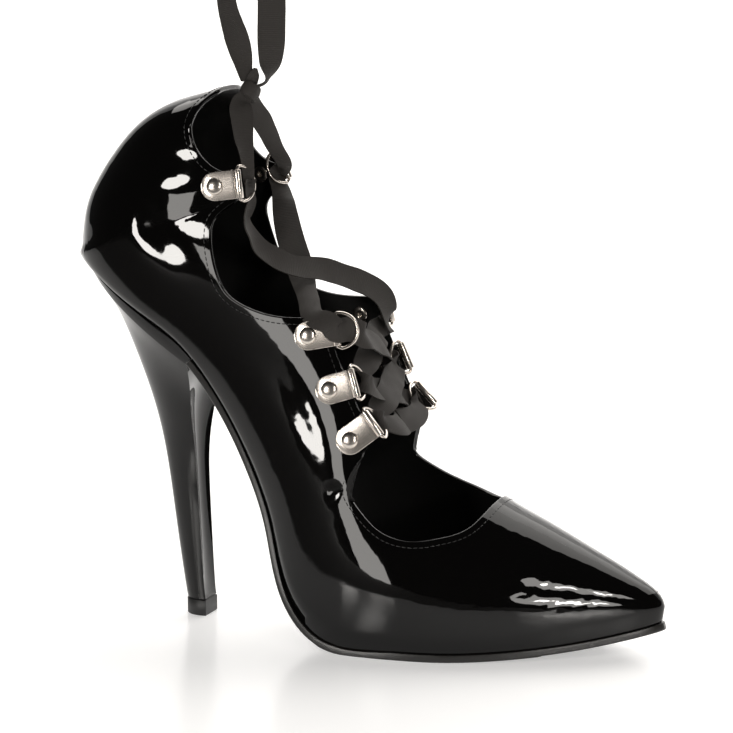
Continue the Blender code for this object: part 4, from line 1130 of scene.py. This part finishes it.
@dataclass
class HeelPieces:
    """Covered heel and its top piece."""

    half_count: int = 30
    breast_count: int = 15
    ring_count: int = 90

    def build(self) -> None:
        """Makes the heel and its top piece."""
        outline = Outline(0)
        breast = arc_of(BREAST_AT)
        widest = float(outline.half(breast))
        plan = self.plan(outline, breast, widest)
        get = {name: column(HEEL_RINGS, HEEL_COLUMNS, name) for name in HEEL_COLUMNS}
        lip, _ = outline.point(breast, -SOLE - 2 * GAP)
        top = TIP_HEIGHT + GAP
        values = (
            np.r_[lip[0], get["front"] * SEAT_SETBACK, HEEL_TIP_FRONT],
            np.r_[lip[1], get["front_up"] * SEAT_HEIGHT, top],
            np.r_[-np.r_[HEEL_LIP_BACK[0], get["back"]] * SEAT_SETBACK, -HEEL_TIP_BACK],
            np.r_[np.r_[HEEL_LIP_BACK[1], get["back_up"]] * SEAT_HEIGHT, top],
            np.r_[0.965 * widest, get["half"] * widest, HEEL_TIP_HALF],
            np.r_[0.0, get["hollow"], 0.0],
        )
        curves = [Spline(np.arange(len(row)), row) for row in values]
        rings = [self.seat(outline, breast, plan)]
        for place in np.linspace(0, len(values[0]) - 1, self.ring_count):
            fx, fz, bx, bz, wide, sunk = (float(curve(place)) for curve in curves)
            rings.append(self.ring(plan, (fx, fz), (bx, bz), wide, max(sunk, 0.0)))
        ring_piece("heel_cover", rings, Finish.PATENT, "heel", sharp=35.0)
        self.top_piece(plan)

    def plan(self, outline: Outline, breast: float, widest: float) -> list:
        """Takes the seat's plan from the outer breast corner round the back.

        Args:
            outline: Outline of the seat.
            breast: Length along the foot line where the breast is.
            widest: Half-width there.

        Returns:
            Shares of depth and of half-width.
        """
        plan = []
        for j in range(2 * self.half_count + 1):
            depth = math.sin(math.pi * j / (2 * self.half_count))
            side = float(outline.half(breast * (1 - depth))) / widest
            plan.append((depth, np.sign(j - self.half_count) * side))
        return plan

    def across(self) -> np.ndarray:
        """Shares across the breast between its corners, inner to outer."""
        return 1 - 2 * (np.arange(self.breast_count) + 1) / (self.breast_count + 1)

    def ring(self, plan: list, front: Sequence, back: Sequence, half: float, hollow: float) -> list:
        """Cuts the heel in the plane through its front and back points.

        Args:
            plan: Shares of the seat's plan.
            front: Side view point of the breast.
            back: Side view point of the back.
            half: Half-width.
            hollow: How far the breast sinks, as a share of the depth.

        Returns:
            Points of the ring.
        """
        run = np.asarray(back) - np.asarray(front)
        places = list(plan) + [(hollow * (1 - side * side), side) for side in self.across()]
        return [(front[0] + depth * run[0], side * half, front[1] + depth * run[1])
                for depth, side in places]

    def seat(self, outline: Outline, breast: float, plan: list) -> list:
        """Makes the heel's top ring on the seat.

        Args:
            outline: Outline of the seat.
            breast: Length along the foot line where the breast is.
            plan: Shares of the seat's plan.

        Returns:
            Points of the ring.
        """
        ring = []
        half = float(outline.half(breast))
        places = [(breast * (1 - depth), np.sign(side) * outline.half(breast * (1 - depth)))
                  for depth, side in plan]
        places += [(breast, side * half) for side in self.across()]
        for arc, y in places:
            flat, centre = outline.point(arc, -GAP)
            ring.append((flat[0], centre + float(y), flat[1]))
        return ring

    def top_piece(self, plan: list) -> None:
        """Makes the piece between the heel and the floor.

        Args:
            plan: Shares of the seat's plan.
        """
        rings = []
        for inset, height in ((GAP, TIP_HEIGHT), (0.0, TIP_HEIGHT - GAP), (0.0, GAP), (GAP, 0.0)):
            front = (HEEL_TIP_FRONT + TIP_MARGIN - inset, height)
            back = (-HEEL_TIP_BACK - TIP_MARGIN + inset, height)
            rings.append(self.ring(plan, front, back, HEEL_TIP_HALF + TIP_MARGIN - inset, 0.0))
        ring_piece("heel_top_piece", rings, Finish.LIFT, "heel_tip", sharp=50.0)


def strip_frames(centres: np.ndarray, faces: np.ndarray) -> tuple[np.ndarray, np.ndarray]:
    """Squares a strip's faces to its run.

    Args:
        centres: Points along the strip.
        faces: Roughly where its face looks at each.

    Returns:
        Face and across directions.
    """
    run = unit(np.gradient(centres, axis=0))
    faces = unit(faces - np.einsum("ij,ij->i", faces, run)[:, None] * run)
    return faces, np.cross(faces, run)


@dataclass
class ClipPieces:
    """One clip with its ring and rivet."""

    clip: Clip

    def build(self) -> None:
        """Makes the three pieces."""
        self.plate()
        self.ring()
        self.rivet()

    def plate(self) -> None:
        """Folds the sheet round the ring's bar, with round long edges."""
        clip = self.clip
        tail = [-CLIP_TAIL * math.cos(turn) for turn in np.linspace(0.12, math.pi / 2, 9)]
        tail += list(np.linspace(0.0, clip.edge, 8)[1:])
        opening = math.asin(clip.leaf_step / clip.barrel)
        rows = [(along, clip.height - clip.leaf_step, 0, -1) for along in tail]
        for turn in np.linspace(opening - math.pi, math.pi - opening, 33):
            way = (math.cos(turn), math.sin(turn))
            rows.append((clip.bar + clip.barrel * way[0], clip.height + clip.barrel * way[1], *way))
        rows += [(along, clip.height + clip.leaf_step, 0, 1) for along in reversed(tail)]
        centres = np.array([clip.at(along, 0, out) for along, out, _, _ in rows])
        faces = np.array([along * clip.along + out * clip.out for _, _, along, out in rows])
        faces, across = strip_frames(centres, faces)
        half_sheet = CLIP_SHEET / 2
        rings = []
        for row, centre, face, wide in zip(rows, centres, faces, across):
            taper = math.sqrt(max(1 - (min(row[0], 0.0) / CLIP_TAIL) ** 2, 0.01))
            edge = CLIP_HALF_WIDTH * taper - half_sheet
            turns = np.linspace(math.pi / 2, -math.pi / 2, 5)
            rings.append([centre + sign * ((edge + half_sheet * math.cos(a)) * wide
                                           + half_sheet * math.sin(a) * face)
                          for sign in (1, -1) for a in turns])
        ring_piece(f"plate_{clip.name}", rings, Finish.NICKEL, f"clip_{clip.name}", sharp=45.0)

    def ring(self) -> None:
        """Bends the wire D-ring."""
        clip = self.clip
        corner = RING_REACH - RING_WIRE / 2
        turns = np.linspace(0.12, math.pi - 0.12, 41)
        route = [(RING_REACH * math.cos(a), RING_DEPTH * math.sin(a) ** RING_SQUARENESS) for a in turns]
        route += [(side * corner, lift * RING_WIRE) for side, lift in RING_BAR]
        centres = np.array([clip.bar_centre() + across * clip.across + along * clip.ring_way
                            for across, along in route])
        run = unit(np.roll(centres, -1, axis=0) - np.roll(centres, 1, axis=0))
        nose = np.cross(clip.across, clip.ring_way)
        rings = []
        for centre, way in zip(centres, run):
            side = np.cross(nose, way)
            rings.append([centre + RING_WIRE / 2 * (math.cos(a) * side + math.sin(a) * nose)
                          for a in np.linspace(0, 2 * math.pi, 17)[:-1]])
        ring_piece(f"wire_{clip.name}", rings, Finish.NICKEL, f"ring_{clip.name}", sharp=70.0, closed=True)

    def rivet(self) -> None:
        """Turns the domed head, the shank and the clenched washer inside."""
        clip = self.clip
        base = clip.height + clip.leaf_step + CLIP_SHEET / 2
        inside = -WALL - 2 * GAP
        profile = [(HEAD_RADIUS * math.sin(turn), base + HEAD_HEIGHT * math.cos(turn))
                   for turn in np.linspace(0, 1.5, 14)]
        profile += [(HEAD_RADIUS, base), (SHANK_RADIUS, base), (SHANK_RADIUS, inside)]
        profile += [(HEAD_RADIUS * 0.96, inside), (HEAD_RADIUS, inside - CLIP_SHEET / 2)]
        profile += [(HEAD_RADIUS * 0.94, inside - CLIP_SHEET), (SHANK_RADIUS * 1.2, inside - 1.3 * CLIP_SHEET)]
        profile += [(SHANK_RADIUS * 0.9, inside - CLIP_SHEET), (SHANK_RADIUS * 0.8, inside + CLIP_SHEET)]
        profile += [(0.0, inside + CLIP_SHEET)]

        def fill(shape: bmesh.types.BMesh) -> None:
            verts = [shape.verts.new(clip.at(radius, 0.0, height)) for radius, height in profile]
            edges = [shape.edges.new(pair) for pair in zip(verts[:-1], verts[1:])]
            bmesh.ops.spin(shape, geom=verts + edges, cent=clip.point, axis=clip.out, angle=2 * math.pi,
                           steps=32, use_merge=True)
            bmesh.ops.remove_doubles(shape, verts=shape.verts, dist=1e-6)

        new_piece(f"stud_{clip.name}", fill, (Finish.NICKEL,), (f"rivet_{clip.name}",), sharp=55.0)


@dataclass
class Ribbon:
    """A ribbon through given stations: centre, face, share of full width."""

    stations: list = field(default_factory=list)
    step: float = 0.0008

    def add(self, centre: Sequence, face: Sequence, width: float = 1.0) -> None:
        """Adds a station.

        Args:
            centre: Middle of the ribbon.
            face: Where its face looks.
            width: Share of the full width.
        """
        self.stations.append((*centre, *unit(np.asarray(face, float)), width))

    def follow(self, centre: Sequence, face: Sequence, width: float) -> None:
        """Adds a station, with the face turned over if the last one looks the other way.

        Args:
            centre: Middle of the ribbon.
            face: Where its face or its back looks.
            width: Share of the full width.
        """
        last = np.array(self.stations[-1][3:6])
        self.add(centre, math.copysign(1.0, last @ np.array(face)) * np.array(face), width)

    def rows(self) -> tuple[np.ndarray, np.ndarray, np.ndarray, np.ndarray]:
        """Runs a natural cubic through the stations.

        Returns:
            Centres, faces, across directions and width shares.
        """
        points = np.array(self.stations, float)
        chord = chord_lengths(points[:, :3])
        places = np.linspace(0, chord[-1], int(chord[-1] / self.step))
        centres = np.stack([Spline(chord, axis)(places) for axis in points[:, :3].T], axis=-1)
        faces = np.stack([np.interp(places, chord, axis) for axis in points[:, 3:6].T], axis=-1)
        widths = np.interp(places, chord, points[:, 6])
        for _ in range(3):
            widths[1:-1] = (widths[:-2] + 2 * widths[1:-1] + widths[2:]) / 4
        faces, across = strip_frames(centres, faces)
        return centres, faces, across, widths

    def fill(self, shape: bmesh.types.BMesh) -> np.ndarray:
        """Adds the ribbon's faces and weave coordinates.

        Args:
            shape: Mesh under construction.

        Returns:
            The ribbon's centres.
        """
        layer = shape.loops.layers.uv.get("weave") or shape.loops.layers.uv.new("weave")
        centres, faces, across, widths = self.rows()
        arc = chord_lengths(centres)
        spread = np.linspace(-1, 1, 11)
        rings, weave = [], []
        for k, centre in enumerate(centres):
            half = RIBBON_WIDTH / 2 * widths[k]
            arch = half * (0.06 + RIBBON_ARCH * (1 - widths[k]))
            ripple = 0.012 * RIBBON_WIDTH * math.sin(600.0 * arc[k])
            upper = [centre + half * s * across[k] + (RIBBON_SHEET / 2 - arch * s * s + ripple * s) * faces[k]
                     for s in spread]
            rings.append(upper + [point - RIBBON_SHEET * faces[k] for point in upper[::-1]])
            marks = [(arc[k] * RIBS_PER_METRE / WAVES_PER_UNIT, s * half) for s in spread]
            weave.append(marks + marks[::-1])
        before = len(shape.faces)
        verts = add_rings(shape, rings)
        marks = {vert: mark for row, places in zip(verts, weave) for vert, mark in zip(row, places)}
        shape.faces.ensure_lookup_table()
        for face in shape.faces[before:]:
            for loop in face.loops:
                loop[layer].uv = marks[loop.vert]
        return centres


@dataclass
class Lacing:
    """The ribbon: two halves threaded up through the rings, the knot and the loop above it."""

    clips: dict

    def build(self) -> None:
        """Makes every piece of the lacing."""
        for name, first, replaces in (
                ("ribbon_half_outer", 0, ("lace_bar", "lace_cross_1", "lace_cross_2", "lace_riser_inner")),
                ("ribbon_half_inner", 1, ("lace_cross_3", "lace_riser_outer"))):
            new_piece(name, self.half(first).fill, (Finish.RIBBON,), replaces, sharp=50.0)
        self.loop(self.knot())

    @staticmethod
    def pass_ring(ribbon: Ribbon, clip: Clip) -> None:
        """Takes the ribbon through a ring.

        Args:
            ribbon: Ribbon being laid.
            clip: Clip whose ring it goes through.
        """
        nose = np.cross(clip.across, clip.ring_way)
        nose = nose * np.sign(nose @ np.array(FORWARD) - 0.3 * nose[1])
        rows = PASSES.get(clip.name, WRAP)
        sign = 1.0
        for number, (up, out, lift, turn, width) in enumerate(rows):
            turned = math.radians(turn)
            face = math.cos(turned) * nose - math.sin(turned) * clip.ring_way
            if number == 0 and ribbon.stations:
                sign = math.copysign(1.0, face @ np.array(ribbon.stations[-1][3:6]))
            place = clip.bar_centre() - up * RING_REACH * clip.side * clip.across
            ribbon.add(place + out * RING_DEPTH * clip.ring_way + lift * nose, sign * face, width)

    def half(self, first: int) -> Ribbon:
        """Lays half of the lace, from the middle of the bottom bar to the knot.

        Args:
            first: Side of its first ring, 0 for the outer and 1 for the inner one.

        Returns:
            The ribbon with its stations.
        """
        ribbon = Ribbon()
        names = [row[0] for row in CLIPS][::-1]
        route = [self.clips[f"{SIDES[(first + k) % 2][0]}_{name}"] for k, name in enumerate(names)]
        bottom = [self.clips[f"{side}_{names[0]}"].anchor(-1) for side, _ in SIDES]
        stand_off = (2 * first - 1) * OVERLAP
        ribbon.add(sum(bottom) / 2 + np.array([0, 0, -0.2 * RIBBON_WIDTH]), FORWARD)
        for number, clip in enumerate(route):
            self.pass_ring(ribbon, clip)
            for x, y, z, *face, width in RUNS.get(clip.name, ()):
                ribbon.follow(np.array((x, y, z)) + stand_off * np.array(OVER), face, width)
            if clip.name not in RUNS:
                start, end = clip.anchor(1), route[number + 1].anchor(-1)
                for share, bulge in CROSSING:
                    place = start + share * (end - start) + bulge * np.array(FORWARD)
                    ribbon.follow(place - stand_off * np.array(FORWARD), CROSSING_FACE, 1.0)
        return ribbon

    def knot(self) -> bpy.types.Object:
        """Ties the knot: a core, two bands wound over it and a short cut end.

        Returns:
            The knot.
        """
        centre, size = np.array(KNOT_PLACE), np.array(KNOT_SIZE)
        ear = Ribbon(step=0.0004)
        for place, width in zip(EAR_ROUTE, (0.42, 0.44, 0.12)):
            ear.add(place, (0.6, -0.8, 0.0), width)

        def fill(shape: bmesh.types.BMesh) -> None:
            shape.loops.layers.uv.new("weave")
            made = bmesh.ops.create_uvsphere(shape, u_segments=32, v_segments=20, radius=0.42)
            bmesh.ops.scale(shape, vec=Vector(size), verts=made["verts"])
            bmesh.ops.translate(shape, vec=Vector(centre), verts=made["verts"])
            for tilt, swing, reach in ((28.0, 0.0, 0.96), (-34.0, 25.0, 1.04)):
                band = Ribbon(step=0.0004)
                tilted, swung = math.radians(tilt), math.radians(swing)
                for turn in np.linspace(0, 2 * math.pi, 17):
                    out = np.array([math.cos(turn), math.sin(turn), math.sin(turn + swung) * math.tan(tilted)])
                    out = unit(out)
                    band.add(centre + 0.5 * reach * size * out, out, 0.55)
                band.fill(shape)
            ear.fill(shape)

        return new_piece("ribbon_knot", fill, (Finish.RIBBON,), ("lace_knot",), sharp=60.0)

    @staticmethod
    def loop(knot: bpy.types.Object) -> None:
        """Lays the loop from the knot up out of the view and back.

        Args:
            knot: The knot it is tied in; not used.
        """
        rows = np.array(LOOP_ROUTE)
        outside = rows[:, :3] - np.mean(rows[:, :3], axis=0)
        outside[:, 1] = 0
        outside = unit(outside)
        ribbon = Ribbon(step=0.0010)
        for number, (row, out) in enumerate(zip(rows, outside)):
            turn = math.radians(row[3])
            face = math.cos(turn) * out - abs(math.sin(turn)) * np.array([0.0, 1.0, 0.0])
            edge = min(number, len(rows) - 1 - number)
            ribbon.add(row[:3], face, (0.4, 0.85, 1.0)[min(edge, 2)])
        ribbon.add(np.array(KNOT_PLACE) + np.array([0.3, 0.2, 0.2]) * KNOT_SIZE, face, 0.3)
        centres = ribbon.rows()[0]
        thing = new_piece("ribbon_loop", ribbon.fill, (Finish.RIBBON,), ("lace_loop",), sharp=50.0)


@dataclass
class Studio:
    """Sheet and backdrop, lamps and camera."""

    target: tuple[float, float, float] = CAMERA_TARGET

    def build(self) -> None:
        """Makes all of the stage."""
        self.camera()
        self.sheet()
        self.lamps()

    def camera(self) -> None:
        """Puts the camera at the photograph's angle."""
        data = bpy.data.cameras.new("camera")
        data.lens = CAMERA_LENS
        data.sensor_width = 36.0
        data.clip_end = 50.0
        camera = bpy.data.objects.new("camera", data)
        camera.location = CAMERA_PLACE
        aim = Vector(self.target) - Vector(CAMERA_PLACE)
        camera.rotation_euler = aim.to_track_quat("-Z", "Y").to_euler()
        bpy.context.scene.collection.objects.link(camera)
        bpy.context.scene.camera = camera

    def sheet(self) -> None:
        """Lays the floor and curves it up into a backdrop."""
        mesh = bpy.data.meshes.new("studio_floor")
        shape = bmesh.new()
        start = [shape.verts.new((x, -3.0, 0.0)) for x in (-3.0, 3.0)]
        edge = shape.edges.new(start)
        moved = bmesh.ops.extrude_edge_only(shape, edges=[edge])["geom"]
        far = [item for item in moved if isinstance(item, bmesh.types.BMVert)]
        bmesh.ops.translate(shape, vec=Vector((0.0, 4.2, 0.0)), verts=far)
        edges = [item for item in moved if isinstance(item, bmesh.types.BMEdge)]
        last = [item for item in edges if set(item.verts) == set(far)]
        bent = bmesh.ops.spin(shape, geom=far + last, cent=(0.0, 1.2, 0.8), axis=(1.0, 0.0, 0.0),
                              angle=math.pi / 2, steps=12)["geom_last"]
        bent_edge = [item for item in bent if isinstance(item, bmesh.types.BMEdge)]
        moved = bmesh.ops.extrude_edge_only(shape, edges=bent_edge)
        high = [item for item in moved["geom"] if isinstance(item, bmesh.types.BMVert)]
        bmesh.ops.translate(shape, vec=Vector((0.0, 0.0, 2.2)), verts=high)
        shape.to_mesh(mesh)
        shape.free()
        floor = bpy.data.objects.new("studio_floor", mesh)
        bpy.context.scene.collection.objects.link(floor)
        mesh.materials.append(self.sheet_material())
        mesh.shade_smooth()

    @staticmethod
    def sheet_material() -> bpy.types.Material:
        """White sheet that glows a little and turns dark grey in front of the table's edge.

        Returns:
            The material.
        """
        material = bpy.data.materials.new("look_sheet")
        material.use_nodes = True
        nodes, links = material.node_tree.nodes, material.node_tree.links
        shader = nodes["Principled BSDF"]
        shader.inputs["Specular IOR Level"].default_value = 0.3
        shader.inputs["Emission Color"].default_value = (1.0, 0.99, 0.98, 1.0)
        place = nodes.new("ShaderNodeTexCoord")
        split = nodes.new("ShaderNodeSeparateXYZ")
        links.new(place.outputs["Object"], split.inputs["Vector"])
        for socket, dark, white in (("Base Color", 0.10, 0.86), ("Emission Strength", 0.03, SHEET_GLOW),
                                    ("Roughness", 0.85, 0.22)):
            fade = nodes.new("ShaderNodeMapRange")
            fade.interpolation_type = "SMOOTHSTEP"
            fade.inputs["From Min"].default_value = TABLE_EDGE - EDGE_FADE
            fade.inputs["From Max"].default_value = TABLE_EDGE + EDGE_FADE
            fade.inputs["To Min"].default_value = dark
            fade.inputs["To Max"].default_value = white
            links.new(split.outputs["Y"], fade.inputs["Value"])
            links.new(fade.outputs["Result"], shader.inputs[socket])
        return material

    @staticmethod
    def lamp(name: str, place: Vector, target: Vector, size: tuple[float, float], glow: float,
             disc: bool) -> None:
        """Adds an area light of a given size and radiance, aimed at a point.

        Args:
            name: Its name.
            place: Where it stands.
            target: Where it looks.
            size: Width and height.
            glow: Radiance.
            disc: Whether it is round.
        """
        data = bpy.data.lights.new(name, "AREA")
        data.shape = "ELLIPSE" if disc else "RECTANGLE"
        data.size, data.size_y = size
        area = size[0] * size[1] * (math.pi / 4 if disc else 1.0)
        data.energy = glow * math.pi * area
        data.color = (1.0, 0.97, 0.93)
        lamp = bpy.data.objects.new(name, data)
        lamp.location = place
        lamp.rotation_euler = (target - place).to_track_quat("-Z", "Y").to_euler()
        bpy.context.scene.collection.objects.link(lamp)

    def lamps(self) -> None:
        """Hangs the lamps and sets the world's dim fill."""
        world = bpy.data.worlds.new("studio_world")
        world.use_nodes = True
        world.node_tree.nodes["Background"].inputs["Color"].default_value = (1.0, 0.99, 0.98, 1.0)
        world.node_tree.nodes["Background"].inputs["Strength"].default_value = WORLD_GLOW
        bpy.context.scene.world = world
        for name, aim, turn, tilt, size, glow, disc in LAMPS:
            turned, tilted = math.radians(turn), math.radians(tilt)
            level = math.cos(tilted)
            way = Vector((math.sin(turned) * level, -math.cos(turned) * level, math.sin(tilted)))
            self.lamp(name, Vector(aim) + LAMP_DISTANCE * way, Vector(aim), size, glow, disc)
        self.lamp("sky_panel", Vector(SKY_PLACE), Vector(SKY_TARGET), SKY_SIZE, SKY_GLOW, False)


def colour_view() -> None:
    """Shows colours as they are."""
    bpy.context.scene.view_settings.view_transform = "Standard"
    bpy.context.scene.view_settings.look = "None"


def main() -> None:
    """Builds the scene over the frame."""
    logging.basicConfig(level=logging.INFO, format="%(message)s")
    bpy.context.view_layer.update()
    Studio().build()
    clips = {}
    for side_name, side in SIDES:
        for row in CLIPS:
            clip = Clip(row, side_name, side)
            clips[clip.name] = clip
            ClipPieces(clip).build()
    UpperPieces().build()
    SolePieces().build()
    HeelPieces().build()
    Lacing(clips).build()
    colour_view()


if __name__ == "__main__":
    main()
